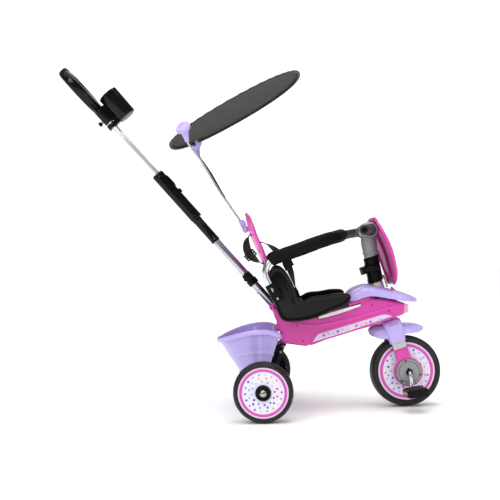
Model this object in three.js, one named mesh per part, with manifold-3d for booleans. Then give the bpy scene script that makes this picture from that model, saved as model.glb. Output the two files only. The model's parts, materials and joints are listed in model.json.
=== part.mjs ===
// Children's tricycle with a push bar, sun canopy, safety ring and rear basket.
// Millimetres, +X forward, +Y to the rider's left, +Z up. While building, the origin lies on the floor
// below the rear axle. The last step moves it to the middle of the footprint.
import * as THREE from "three";
import { mergeVertices } from "three/addons/utils/BufferGeometryUtils.js";
import Module from "manifold-3d";

const wasm = await Module();
wasm.setup();

// ---- Driving dimensions ----------------------------------------------------------------------

const GAP = 0.3; // between pieces that touch or turn in each other
const WHEELBASE = 402;

const REAR_RADIUS = 80;
const REAR_RIM_RADIUS = 67;
const REAR_WIDTH = 48;
const REAR_FACE_Y = 235; // outer face of each rear tyre
const REAR_HUB_RADIUS = 20.5;
const AXLE_RADIUS = 5;

const FRONT_RADIUS = 100;
const FRONT_RIM_RADIUS = 81.5;
const FRONT_WIDTH = 50;
const CRANK_LENGTH = 48;
const CRANK_ANGLE = -103; // degrees from forward, in the wheel's plane, of the right-hand crank arm
const CRANK_RADIUS = 5;
const PEDAL_SIZE = [58, 60, 22];

const STEERING_TILT = 17; // degrees the steering axis leans back
const STEERING_TURN = 5.5; // degrees the wheel and handlebar are turned to the left as built
const STEERER_RADIUS = 15;

const BODY_HALF_WIDTH = 66;
const SEAT_HALF_WIDTH = 118;
const SEAT_WALL = 5;
const RING_HALF_WIDTH = 134;
const RING_TUBE_RADIUS = 9;
const FOAM_RADIUS = 18.5;

const BAR_FOOT = [29, 296]; // X and Z where the push bar leaves the body
const BAR_ANGLE = 130.7; // degrees, direction of the push bar in the XZ plane
const BAR_RADIUS = 11;
const BAR_BORE = 11.4;

const CANOPY_CENTRE = [-67, 850];
const CANOPY_TILT = 28;
const CANOPY_HALF_LENGTH = 214;
const CANOPY_HALF_WIDTH = 206;
const CANOPY_CLAMP_ALONG = -148; // where the clamps hold the hoop, along the canopy from its middle
const HOOP_RADIUS = 3;

// ---- Colours ---------------------------------------------------------------------------------

const PINK = 0xe0359f;
const PALE_PINK = 0xf0a8c8;
const LILAC = 0xb9a3ea;
const BLACK = 0x1c1c1e;
const RUBBER = 0x2a2a2a;
const GREY = 0x8c8c92;
const SILVER = 0xc4c6ca;
const WHITE = 0xf2eef6;

// ---- Small tools -----------------------------------------------------------------------------

const rad = (degrees) => (degrees * Math.PI) / 180;
const point = (x, y, z) => new THREE.Vector3(x, y, z);

function signedVolume(positions, index) {
  let sum = 0;
  const a = new THREE.Vector3();
  const b = new THREE.Vector3();
  const c = new THREE.Vector3();
  for (let i = 0; i < index.length; i += 3) {
    a.fromArray(positions, index[i] * 3);
    b.fromArray(positions, index[i + 1] * 3);
    c.fromArray(positions, index[i + 2] * 3);
    sum += a.dot(b.cross(c));
  }
  return sum;
}

// The triangles that close one flat outline of a loft.
function capOf(outline) {
  const normal = new THREE.Vector3();
  outline.forEach((p, i) => {
    normal.add(p.clone().cross(outline[(i + 1) % outline.length]));
  });
  normal.normalize();
  const helper = Math.abs(normal.x) < 0.8 ? point(1, 0, 0) : point(0, 1, 0);
  const across = helper.cross(normal).normalize();
  const up = normal.clone().cross(across);
  const flat = outline.map((p) => new THREE.Vector2(p.dot(across), p.dot(up)));
  return THREE.ShapeUtils.triangulateShape(flat, []);
}

// A closed solid through outlines with the same number of points. With ring, the last joins the first.
function loft(outlines, ring = false) {
  const count = outlines[0].length;
  const positions = outlines.flat().flatMap((p) => [p.x, p.y, p.z]);
  const index = [];
  const last = ring ? outlines.length : outlines.length - 1;
  for (let s = 0; s < last; s += 1) {
    const next = (s + 1) % outlines.length;
    for (let i = 0; i < count; i += 1) {
      const j = (i + 1) % count;
      const corners = [s * count + i, s * count + j, next * count + j, next * count + i];
      index.push(corners[0], corners[1], corners[2]);
      index.push(corners[0], corners[2], corners[3]);
    }
  }
  if (!ring) {
    const top = (outlines.length - 1) * count;
    capOf(outlines[0]).forEach(([a, b, c]) => index.push(a, c, b));
    capOf(outlines[outlines.length - 1]).forEach(([a, b, c]) => index.push(top + a, top + b, top + c));
  }
  if (signedVolume(positions, index) < 0) {
    for (let i = 0; i < index.length; i += 3) {
      [index[i + 1], index[i + 2]] = [index[i + 2], index[i + 1]];
    }
  }
  const geometry = new THREE.BufferGeometry();
  geometry.setAttribute("position", new THREE.Float32BufferAttribute(positions, 3));
  geometry.setIndex(index);
  return geometry;
}

function circle(radius, sides) {
  return Array.from({ length: sides }, (_, i) => {
    const angle = (2 * Math.PI * i) / sides;
    return [radius * Math.cos(angle), radius * Math.sin(angle)];
  });
}

// A rectangle with rounded corners, centred on 0.
function roundedRectangle(width, height, corner, steps = 2) {
  const out = [];
  [[1, 1], [-1, 1], [-1, -1], [1, -1]].forEach(([sx, sy], quarter) => {
    for (let k = 0; k <= steps; k += 1) {
      const angle = rad(90 * quarter + (90 * k) / steps);
      const x = sx * (width / 2 - corner) + corner * Math.cos(angle);
      out.push([x, sy * (height / 2 - corner) + corner * Math.sin(angle)]);
    }
  });
  return out;
}

// Sweeps a section along a path. The section's second axis leans towards up.
function sweep(path, section, { up = point(0, 0, 1), ring = false, scale = () => 1 } = {}) {
  const outlines = path.map((p, i) => {
    const before = ring ? path[(i + path.length - 1) % path.length] : path[Math.max(i - 1, 0)];
    const after = ring ? path[(i + 1) % path.length] : path[Math.min(i + 1, path.length - 1)];
    const along = after.clone().sub(before).normalize();
    const side = along.clone().cross(up).normalize();
    const top = side.clone().cross(along).normalize();
    const size = scale(i / (path.length - 1));
    return section.map(([a, b]) => p.clone().addScaledVector(side, a * size).addScaledVector(top, b * size));
  });
  return loft(outlines, ring);
}

function smooth(points, count, ring = false) {
  const curve = new THREE.CatmullRomCurve3(points, ring, "centripetal");
  const out = curve.getSpacedPoints(count);
  return ring ? out.slice(0, -1) : out;
}

// A turned solid. profile holds [radius, distance along the axis] and starts and ends on the axis,
// or closes on itself when closed is true. The axis runs from start towards end.
function turned(profile, start, end, sides = 24, closed = false) {
  const outline = closed ? [...profile, profile[0]] : profile;
  const shape = outline.map(([r, s]) => new THREE.Vector2(r, s));
  const geometry = new THREE.LatheGeometry(shape, sides);
  const along = end.clone().sub(start).normalize();
  const turn = new THREE.Quaternion().setFromUnitVectors(point(0, 1, 0), along);
  geometry.applyQuaternion(turn);
  geometry.translate(start.x, start.y, start.z);
  return outward(geometry);
}

// A straight cylinder, with an optional bore.
function rod(start, end, radius, bore = 0, sides = 20) {
  const length = start.distanceTo(end);
  if (bore > 0) {
    const wall = [[bore, 0], [radius, 0], [radius, length], [bore, length]];
    return turned(wall, start, end, sides, true);
  }
  return turned([[0, 0], [radius, 0], [radius, length], [0, length]], start, end, sides);
}

function cleaned(geometry) {
  const copy = geometry.clone();
  copy.deleteAttribute("normal");
  copy.deleteAttribute("uv");
  const merged = mergeVertices(copy, 1e-4);
  const index = [];
  const old = merged.index.array;
  for (let i = 0; i < old.length; i += 3) {
    const [a, b, c] = [old[i], old[i + 1], old[i + 2]];
    if (a !== b && b !== c && c !== a) index.push(a, b, c);
  }
  merged.setIndex(index);
  return merged;
}

function outward(geometry) {
  const merged = cleaned(geometry);
  const index = Array.from(merged.index.array);
  if (signedVolume(merged.attributes.position.array, index) < 0) {
    for (let i = 0; i < index.length; i += 3) {
      [index[i + 1], index[i + 2]] = [index[i + 2], index[i + 1]];
    }
    merged.setIndex(index);
  }
  return merged;
}

// An outline in the XZ plane, made solid between two values of Y.
function plate(outline, y0, y1) {
  return loft([y0, y1].map((y) => outline.map(([x, z]) => point(x, y, z))));
}

function box(x0, x1, y0, y1, z0, z1) {
  return plate([[x0, z0], [x1, z0], [x1, z1], [x0, z1]], y0, y1);
}

function solidOf(geometry) {
  const merged = cleaned(geometry);
  const mesh = new wasm.Mesh({
    numProp: 3,
    vertProperties: new Float32Array(merged.attributes.position.array),
    triVerts: new Uint32Array(merged.index.array),
  });
  return new wasm.Manifold(mesh);
}

function geometryOf(solid) {
  const mesh = solid.getMesh();
  const geometry = new THREE.BufferGeometry();
  geometry.setAttribute("position", new THREE.BufferAttribute(mesh.vertProperties, 3));
  geometry.setIndex(new THREE.BufferAttribute(mesh.triVerts, 1));
  return geometry;
}

function join(...parts) {
  return geometryOf(parts.map(solidOf).reduce((sum, next) => sum.add(next)));
}

function cut(base, ...tools) {
  return geometryOf(tools.map(solidOf).reduce((rest, tool) => rest.subtract(tool), solidOf(base)));
}

function hullOf(geometries) {
  return geometryOf(wasm.Manifold.hull(geometries.map(solidOf)));
}

const tricycle = new THREE.Group();
tricycle.name = "tricycle";
const chassis = new THREE.Group();
const steering = new THREE.Group();
tricycle.add(chassis, steering);

function add(group, name, geometry, color) {
  const metal = color === SILVER ? 0.9 : 0;
  const material = new THREE.MeshStandardMaterial({ color, metalness: metal, roughness: 0.45 });
  const mesh = new THREE.Mesh(geometry, material);
  mesh.name = name;
  group.add(mesh);
}

const SIDES = [["left", 1], ["right", -1]];

// ---- Rear wheels: tyre, rim, hub and cap on each side ------------------------------------------

function rearWheel(name, side) {
  const start = point(0, side * (REAR_FACE_Y - REAR_WIDTH), REAR_RADIUS);
  const end = point(0, side * REAR_FACE_Y, REAR_RADIUS);
  const w = REAR_WIDTH;
  const inner = REAR_RIM_RADIUS + GAP;
  const tyre = [
    [inner, 1.5], [72, 0], [77.5, 4.5], [79.6, 13], [REAR_RADIUS, 24], [79.6, w - 13], [77.5, w - 4.5],
    [72, w], [inner, w - 1.5],
  ];
  const bore = REAR_HUB_RADIUS + GAP;
  const rim = [
    [bore, w - 8], [bore, w - 4], [REAR_RIM_RADIUS, w - 4], [REAR_RIM_RADIUS, 5],
    [62, 5], [62, w - 8],
  ];
  const hole = AXLE_RADIUS + GAP;
  const hub = [
    [hole, 2], [REAR_HUB_RADIUS, 2], [REAR_HUB_RADIUS, w + 1], [REAR_HUB_RADIUS - 3, w + 4],
    [hole, w + 4],
  ];
  const cap = [[0, w + 4.3], [10, w + 4.3], [9.2, w + 7.5], [6.5, w + 10.3], [3, w + 11.6], [0, w + 12]];
  add(chassis, `rear_tyre_${name}`, turned(tyre, start, end, 32, true), RUBBER);
  add(chassis, `rear_rim_${name}`, turned(rim, start, end, 32, true), WHITE);
  add(chassis, `rear_hub_${name}`, turned(hub, start, end, 20, true), BLACK);
  add(chassis, `rear_cap_${name}`, turned(cap, start, end, 16), SILVER);
}

SIDES.forEach(([name, side]) => rearWheel(name, side));

// ---- Rear axle and the black support under the body --------------------------------------------

const axleEnd = REAR_FACE_Y + 4;
const axle = rod(point(0, -axleEnd, REAR_RADIUS), point(0, axleEnd, REAR_RADIUS), AXLE_RADIUS, 0, 16);
add(chassis, "rear_axle", axle, SILVER);

const supportOutline = [
  [-11, 70], [4, 66], [14, 73], [24, 92], [35, 112], [45, 136], [57, 170], [66, 187.2], [48, 187.2],
  [26, 181], [22, 150], [17, 112], [4, 96], [-10, 91],
];
const supportTube = rod(point(0, -176, REAR_RADIUS), point(0, 176, REAR_RADIUS), 13, 0, 20);
const axleBore = rod(point(0, -180, REAR_RADIUS), point(0, 180, REAR_RADIUS), AXLE_RADIUS + GAP, 0, 16);
const supportPlates = plate(supportOutline, -52, 52);
const supportHollow = plate([[30, 60], [20, 84], [34, 116], [50, 160], [90, 160]], -40, 40);
add(chassis, "rear_bracket", cut(join(supportTube, supportPlates), supportHollow, axleBore), BLACK);

// ---- Body: the pink moulding that carries everything -------------------------------------------

const barDirection = point(Math.cos(rad(BAR_ANGLE)), 0, Math.sin(rad(BAR_ANGLE)));
const barNormal = point(Math.sin(rad(BAR_ANGLE)), 0, -Math.cos(rad(BAR_ANGLE)));

// A point by its distance along the push bar, its offset square to it and its Y.
function onBar(t, n = 0, y = 0) {
  return point(BAR_FOOT[0], y, BAR_FOOT[1]).addScaledVector(barDirection, t).addScaledVector(barNormal, n);
}

// A point by its distances forward, across and up from the front wheel's centre, along the steering axis.
function onSteering(u, y, w) {
  const tilt = rad(STEERING_TILT);
  const x = WHEELBASE + u * Math.cos(tilt) - w * Math.sin(tilt);
  return point(x, y, FRONT_RADIUS + u * Math.sin(tilt) + w * Math.cos(tilt));
}

const bodyOutline = [
  [27, 291], [31, 270], [41, 248], [37, 235], [38, 228], [50, 220], [45, 200], [54, 190], [70, 188],
  [120, 180], [137, 188], [226, 212], [306, 234], [369, 256], [393.7, 265], [393.7, 296], [340, 309],
  [305, 313], [285, 306], [272, 290.6], [157, 257.6], [150, 260], [144, 263], [118, 257.5], [88, 255],
  [66, 256], [55, 265], [42, 284],
];

function bodyAt(y, inset) {
  const middle = [200, 245];
  return bodyOutline.map(([x, z]) => {
    const dx = x - middle[0];
    const dz = z - middle[1];
    const away = Math.hypot(dx, dz);
    return point(x - (inset * dx) / away, y, z - (inset * dz) / away);
  });
}

const bodyBlock = loft([
  bodyAt(-BODY_HALF_WIDTH, 4),
  bodyAt(-BODY_HALF_WIDTH + 6, 0),
  bodyAt(BODY_HALF_WIDTH - 6, 0),
  bodyAt(BODY_HALF_WIDTH, 4),
]);
const bodyHollow = plate(
  [[90, 170], [100, 200], [150, 224], [270, 262], [300, 285], [318, 285], [318, 225], [226, 200], [150, 178]],
  -54,
  54,
);
const barBoss = rod(onBar(-42), onBar(2), 15, 0, 20);
const barHole = rod(onBar(-38), onBar(20), BAR_BORE, 0, 20);
const steererHole = rod(onSteering(0, 0, 100), onSteering(0, 0, 260), STEERER_RADIUS + 1, 0, 20);
const noseFin = plate([[366, 290], [384, 290], [382, 328], [369, 341], [367, 336]], -6, 6);
const body = cut(join(cut(bodyBlock, bodyHollow), barBoss, noseFin), barHole, steererHole);
add(chassis, "body_frame", body, PINK);

const noseOutline = [[394, 266], [407, 270.5], [408, 290.5], [394, 295.5]];
add(chassis, "front_cap", plate(noseOutline, -56, 56), PALE_PINK);

// ---- Lilac fairing over the front of the body ----------------------------------------------------

// Each station: X, height of the crest, height of the lower edge and half width.
const coverStations = [
  [239, 310, 304, 62],
  [246, 325, 305, 72],
  [260, 333.5, 307, 78],
  [280, 341, 314, 80],
  [300, 344, 318, 80],
  [330, 337, 315, 80],
  [360, 329, 309, 78],
  [388, 321.5, 303, 72],
  [410, 313, 299, 56],
  [428, 305.5, 296, 34],
  [436, 300, 294.5, 16],
];
const COVER_WALL = 3.5;

function coverSection([x, crest, hem, half]) {
  const drop = crest - hem;
  const wall = Math.min(COVER_WALL, half * 0.4, drop * 0.45);
  const outer = [[-1, hem], [-1, crest - drop * 0.35], [-0.93, crest - drop * 0.12], [-0.8, crest]];
  const rows = outer.map(([share, z]) => [share * half, z]);
  const all = [...rows, ...rows.map(([y, z]) => [-y, z]).reverse()];
  const shrink = (half - wall) / half;
  const inside = all.map(([y, z]) => [y * shrink, Math.max(hem, z - wall)]);
  inside[0][1] = hem;
  inside[inside.length - 1][1] = hem;
  return [...all, ...inside.reverse()].map(([y, z]) => point(x, y, z));
}

const coverShell = loft(coverStations.map(coverSection));
const coverHole = rod(onSteering(0, 0, 180), onSteering(0, 0, 300), 23, 0, 24);
const finHole = box(362, 388, -9, 9, 280, 360);
add(chassis, "top_cover", cut(coverShell, coverHole, finHole), LILAC);

// ---- Seat: black bucket shell and pink back rest -------------------------------------------------

const seatSideOutline = [
  [57, 262], [88, 257.5], [118, 260.3], [148, 268], [187, 284], [214, 294.5], [232, 304], [241, 318],
  [237, 325], [206, 328], [171, 323], [133, 319], [112, 309], [100, 312], [88, 345], [72, 378], [52, 400], [36, 402], [24, 386],
  [30, 345], [38, 305],
];
const seatPanOutline = [
  [26, 402], [32, 402], [46, 352], [66, 304], [79, 272], [94, 264], [118, 266], [150, 276.5], [238, 299.7],
  [238, 293.7], [148, 270], [118, 260.3], [90, 258.5], [74, 265], [61, 300], [41, 350],
];
const seatPan = plate(seatPanOutline, -SEAT_HALF_WIDTH + 1, SEAT_HALF_WIDTH - 1);
const seatSides = SIDES.map(([, side]) => {
  const outerY = side * SEAT_HALF_WIDTH;
  return plate(seatSideOutline, outerY - side * SEAT_WALL, outerY);
});
add(chassis, "seat_shell", join(seatPan, ...seatSides), BLACK);

// Each station: Z, X of the rear surface in the middle, half width.
const backStations = [
  [404, 7, 78],
  [432, -5, 92],
  [458, -15, 98],
  [493, -30, 96],
  [520, -37, 84],
  [542, -42, 62],
  [553, -43, 36],
];
const BACK_BULGE = 12;
const BACK_WALL = 4.5;

function backSection([z, rear, half]) {
  const shares = [-1, -0.6, -0.2, 0.2, 0.6, 1];
  const reach = BACK_BULGE * (half / 98);
  const rearLine = shares.map((share) => point(rear + reach * share * share, half * share, z));
  const frontLine = shares.map((share) => point(rear + BACK_WALL + reach * share * share, half * share, z));
  return [...rearLine, ...frontLine.reverse()];
}

const backTabs = SIDES.map(([, side]) => {
  return plate([[6, 407], [14, 407], [31, 362], [25, 360]], side * 30, side * 58);
});
const backShell = join(loft(backStations.map(backSection)), ...backTabs);
add(chassis, "seat_back", backShell, PINK);

// ---- Harness: two shoulder straps, buckle on its crotch strap, and the loop behind the back ------

const strapSection = roundedRectangle(25, 2, 0.9, 1);

SIDES.forEach(([name, side]) => {
  const path = [
    point(-6, side * 50, 474), point(20, side * 51, 466), point(48, side * 49, 444),
    point(72, side * 43, 414), point(92, side * 27, 354), point(103, side * 18, 317),
  ];
  add(chassis, `harness_${name}`, sweep(smooth(path, 14), strapSection, { up: point(0.4, 0, 1) }), BLACK);
});

const buckleBody = sweep(
  [point(96, 0, 308), point(99, 0, 308.5), point(111, 0, 302), point(116, 0, 299)],
  roundedRectangle(58, 12, 4),
  { scale: (s) => (s === 0 || s === 1 ? 0.86 : 1) },
);
const crotchStrap = box(105, 107.5, -12, 12, 267.2, 303);
const buckleSlots = box(60, 104, -32, 32, 306, 330);
add(chassis, "harness_buckle", cut(join(buckleBody, crotchStrap), buckleSlots), BLACK);

const loopPath = [
  point(-38, 0, 492), point(-47, 0, 474), point(-46, 0, 453), point(-32, 0, 438), point(-16, 0, 424),
  point(-6, 0, 416),
].map((p) => p.add(point(0, -44, 0)));
add(chassis, "rear_strap", sweep(smooth(loopPath, 12), strapSection, { up: point(1, 0, 0.6) }), BLACK);

// ---- Safety ring: sockets on the seat, steel tube and foam ---------------------------------------

const ringHalf = [
  [43, 1, 322], [33, 1, 341], [22, 1, 361], [14, 1, 379], [12, 1, 396], [18, 1, 414], [32, 1, 427],
  [61, 0.995, 437], [110, 0.95, 453], [150, 0.85, 467], [188, 0.66, 479], [217, 0.36, 486],
];
const ringCurve = new THREE.CatmullRomCurve3(
  [
    ...ringHalf.map(([x, share, z]) => point(x, -share * RING_HALF_WIDTH, z)),
    point(228, 0, 489),
    ...ringHalf.map(([x, share, z]) => point(x, share * RING_HALF_WIDTH, z)).reverse(),
  ],
  false,
  "centripetal",
);
const ringPoints = ringCurve.getSpacedPoints(44);
const FOAM_START_Z = 419;
const foamPoints = ringPoints.filter((p, i) => p.z > FOAM_START_Z && (p.x > 20 || i === 0));
const ringUp = point(-0.9, 0, 1).normalize();
add(chassis, "ring_tube", sweep(ringPoints, circle(RING_TUBE_RADIUS, 10), { up: ringUp }), SILVER);

const foamBody = sweep(foamPoints, circle(FOAM_RADIUS, 12), { up: ringUp });
const foamBore = sweep(ringPoints, circle(RING_TUBE_RADIUS + GAP, 10), { up: ringUp });
add(chassis, "ring_foam", cut(foamBody, foamBore), RUBBER);

SIDES.forEach(([name, side]) => {
  const y = side * RING_HALF_WIDTH;
  const top = point(23.5, y, 358);
  const foot = point(48, y, 312);
  const block = sweep([top, foot], roundedRectangle(27, 30, 7), { up: point(1, 0, 0) });
  const pad = box(30, 56, side > 0 ? SEAT_HALF_WIDTH + GAP : y, side > 0 ? y : -SEAT_HALF_WIDTH - GAP, 318, 346);
  const away = foot.clone().sub(top).normalize();
  const bore = rod(top.clone().addScaledVector(away, -8), point(44.5, y, 319), RING_TUBE_RADIUS + 0.5, 0, 16);
  add(chassis, `ring_socket_${name}`, cut(join(block, pad), bore), BLACK);
});

// ---- Rear basket ---------------------------------------------------------------------------------

const BASKET_WALL = 3;

// The plan of the basket: fore and aft from -1 (rear) to 1 (front), across from -1 to 1.
const basketPlan = [
  [1, -0.62], [1.22, -0.78], [1.16, -0.96], [0.7, -1.0], [0.3, -0.98], [-0.1, -0.92], [-0.5, -0.76],
  [-0.8, -0.5], [-0.97, -0.2], [-0.97, 0.2], [-0.8, 0.5], [-0.5, 0.76], [-0.1, 0.92], [0.3, 0.98],
  [0.7, 1.0], [1.16, 0.96], [1.22, 0.78], [1, 0.62],
];

function basketRimHeight(share) {
  return 203 + 32 * Math.sin(rad(55 * (share + 1))) - 27 * Math.max(0, share - 0.6) ** 2;
}

// A level ring of points round the basket, level runs from 0 at the floor to 1 at the rim.
function basketLoop(level, grow, drop = 0) {
  const front = 9 + 19 * level;
  const rear = -66 - 62 * level;
  const half = 86 + 36 * level;
  const middle = (front + rear) / 2;
  const length = (front - rear) / 2;
  return basketPlan.map(([along, across]) => {
    const shape = along > 1 ? 1 + (along - 1) * level : along;
    const x = middle + shape * (length + grow);
    const floor = 108;
    const z = floor + level * (basketRimHeight(along) - floor) - drop;
    return point(x, across * (half + grow), z);
  });
}

const basketBody = loft([
  basketLoop(0, 0),
  basketLoop(0.5, 1),
  basketLoop(0.93, 0, 0),
  basketLoop(1, 5, 13),
  basketLoop(1, 6, 0),
  basketLoop(1, -BASKET_WALL, 0),
  basketLoop(0.93, -BASKET_WALL - 1, 0),
  basketLoop(0.5, -BASKET_WALL, 0),
  basketLoop(0, -BASKET_WALL, -BASKET_WALL),
]);
add(chassis, "basket", basketBody, LILAC);

// ---- Push bar ------------------------------------------------------------------------------------

add(chassis, "push_tube_lower", rod(onBar(-37), onBar(262), BAR_RADIUS), SILVER);

const KNOB_AT = 106;
const collarRing = rod(onBar(78), onBar(118), 14.5, 0, 20);
const collarBoss = rod(onBar(KNOB_AT, 0, 0), onBar(KNOB_AT, 0, -17.5), 7, 0, 16);
const collarBore = rod(onBar(70), onBar(126), BAR_RADIUS + GAP);
add(chassis, "push_collar", cut(join(collarRing, collarBoss), collarBore), BLACK);
const knobProfile = [[0, 0], [13, 0], [15, 2], [15, 8], [13, 10.5], [0, 11]];
add(chassis, "push_knob", turned(knobProfile, onBar(KNOB_AT, 0, -17.8), onBar(KNOB_AT, 0, -40), 16), BLACK);

add(chassis, "push_sleeve", rod(onBar(243), onBar(327.7), 13.8, BAR_BORE), BLACK);

const HOUSING = { from: 328, to: 500, low: -15, high: 20, buttonAt: 421 };
const housingMiddle = (HOUSING.low + HOUSING.high) / 2;
const housingBody = sweep(
  [HOUSING.from, HOUSING.from + 3, HOUSING.to - 4, HOUSING.to].map((t) => onBar(t, housingMiddle)),
  roundedRectangle(32, HOUSING.high - HOUSING.low, 12, 3),
  { up: barNormal, scale: (s) => (s === 0 || s === 1 ? 0.93 : 1) },
);
const housingBore = rod(onBar(HOUSING.from - 5), onBar(HOUSING.to + 5), BAR_BORE);
const buttonWell = rod(onBar(HOUSING.buttonAt, 13), onBar(HOUSING.buttonAt, 40), 7.6);
const catchRidge = sweep(
  [440, 446, 470, 480].map((t) => onBar(t, 19)),
  roundedRectangle(14, 8, 3),
  { up: barNormal, scale: (s) => (s === 0 || s === 1 ? 0.6 : 1) },
);
add(chassis, "push_housing", cut(join(housingBody, catchRidge), housingBore, buttonWell), BLACK);
const buttonProfile = [[0, 0], [7, 0], [7, 7], [5.6, 8.6], [0, 9.1]];
const buttonFoot = onBar(HOUSING.buttonAt, 16);
add(chassis, "release_button", turned(buttonProfile, buttonFoot, onBar(HOUSING.buttonAt, 60), 16), BLACK);

const UPPER_TUBE = { from: 452, to: 744 };
add(chassis, "push_tube_upper", rod(onBar(UPPER_TUBE.from), onBar(UPPER_TUBE.to), BAR_RADIUS), SILVER);

// Handle: a neck on the tube and a loop to push with.
const NECK_FROM = 701;
const loopOutline = [
  [758, 0], [766, 26], [790, 50], [825, 62], [858, 60], [882, 42], [891, 0], [882, -42], [858, -60],
  [825, -62], [790, -50], [766, -26],
];
const loopCurve = smooth(loopOutline.map(([t, y]) => onBar(t, -1, y)), 24, true);
const handleRing = sweep(loopCurve, roundedRectangle(25, 30, 9, 1), { up: barNormal, ring: true });
const neck = turned(
  [[0, 0], [14, 0], [15, 4], [15.5, 40], [13, 62], [0, 64]],
  onBar(NECK_FROM),
  onBar(900),
  20,
);
const neckBore = rod(onBar(NECK_FROM - 5), onBar(UPPER_TUBE.to + 1), BAR_RADIUS + GAP);
add(chassis, "handle_loop", cut(join(handleRing, neck), neckBore), BLACK);
const smallKnob = [[0, 0], [3, 0], [3, 3], [6.5, 4], [6.5, 10], [5, 12], [0, 12.5]];
add(chassis, "handle_knob", turned(smallKnob, onBar(716, -15.9), onBar(716, -60), 14), BLACK);

const CUP = { from: 681, to: 767, offset: 50, radius: 30, wall: 2.6 };
const cupProfile = [
  [0, 0], [27, 0], [CUP.radius - 0.6, 5], [CUP.radius, CUP.to - CUP.from],
  [CUP.radius - CUP.wall, CUP.to - CUP.from], [CUP.radius - CUP.wall - 0.6, 5], [26, 3.2], [0, 3.2],
];
const cupShell = turned(cupProfile, onBar(CUP.from, CUP.offset), onBar(900, CUP.offset), 24);
const cupInside = rod(onBar(CUP.from + 5, CUP.offset), onBar(CUP.to + 5, CUP.offset), CUP.radius - CUP.wall, 0, 24);
const cupClip = rod(onBar(682.5), onBar(697), 15.5, 0, 20);
const cupArm = sweep([onBar(682.5, 17), onBar(697, 17)], roundedRectangle(18, 14, 3, 1), { up: barNormal });
const clipBore = rod(onBar(675), onBar(705), BAR_RADIUS + GAP);
const cupHolder = cut(join(cupShell, cut(join(cupClip, cupArm), cupInside)), clipBore);
add(chassis, "cup_holder", cupHolder, BLACK);

// ---- Canopy --------------------------------------------------------------------------------------

const canopyAlong = point(Math.cos(rad(CANOPY_TILT)), 0, Math.sin(rad(CANOPY_TILT)));
const canopyUp = point(-Math.sin(rad(CANOPY_TILT)), 0, Math.cos(rad(CANOPY_TILT)));

// A point by its place along, across and above the canopy's plane.
function onCanopy(s, y, h = 0) {
  return point(CANOPY_CENTRE[0], y, CANOPY_CENTRE[1]).addScaledVector(canopyAlong, s).addScaledVector(canopyUp, h);
}

// The canopy's rim, a little squarer than an ellipse.
function rimPoint(angle, shrink = 0) {
  const power = 2 / 2.27;
  const c = Math.cos(angle);
  const s = Math.sin(angle);
  const along = Math.sign(c) * Math.abs(c) ** power * (CANOPY_HALF_LENGTH - shrink);
  return [along, Math.sign(s) * Math.abs(s) ** power * (CANOPY_HALF_WIDTH - shrink)];
}

const RIM_STEPS = 36;
const rimAngles = Array.from({ length: RIM_STEPS }, (_, i) => (2 * Math.PI * i) / RIM_STEPS);
const hoopPath = rimAngles.map((angle) => onCanopy(...rimPoint(angle, 5)));
add(chassis, "canopy_hoop", sweep(hoopPath, circle(HOOP_RADIUS, 6), { up: canopyUp, ring: true }), SILVER);

const CLOTH_LIFT = HOOP_RADIUS + GAP;
const clothRings = [[0, 0], [0, 1.4], [30, 1.4 + 3.5], [110, 1.4 + 8]];
const clothRow = ([shrink, lift]) => rimAngles.map((angle) => {
  return onCanopy(...rimPoint(angle, shrink), CLOTH_LIFT + lift);
});
const clothTop = clothRings.map(clothRow);
const clothUnder = [[110, 6.6], [30, 2.1]].map(clothRow);
add(chassis, "canopy_cloth", loft([...clothUnder, ...clothTop]), RUBBER);

// The clamps' jaws leave room for the rim at every tilt of the canopy.
const CANOPY_TILT_STEPS = [-12, 0, 12];
const clothRoom = loft([2.6, 8].map((h) => rimAngles.map((angle) => onCanopy(...rimPoint(angle, -0.6), h))));

function turnedAbout(geometry, x, z, degrees) {
  const copy = geometry.clone();
  copy.translate(-x, 0, -z);
  copy.rotateY(rad(degrees));
  copy.translate(x, 0, z);
  return copy;
}

const strutSection = circle(3.2, 8);
const clampAngle = Math.PI - Math.acos((Math.abs(CANOPY_CLAMP_ALONG) / (CANOPY_HALF_LENGTH - 5)) ** (2.27 / 2));
const [clampAlong, clampAcross] = rimPoint(clampAngle, 5);

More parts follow.
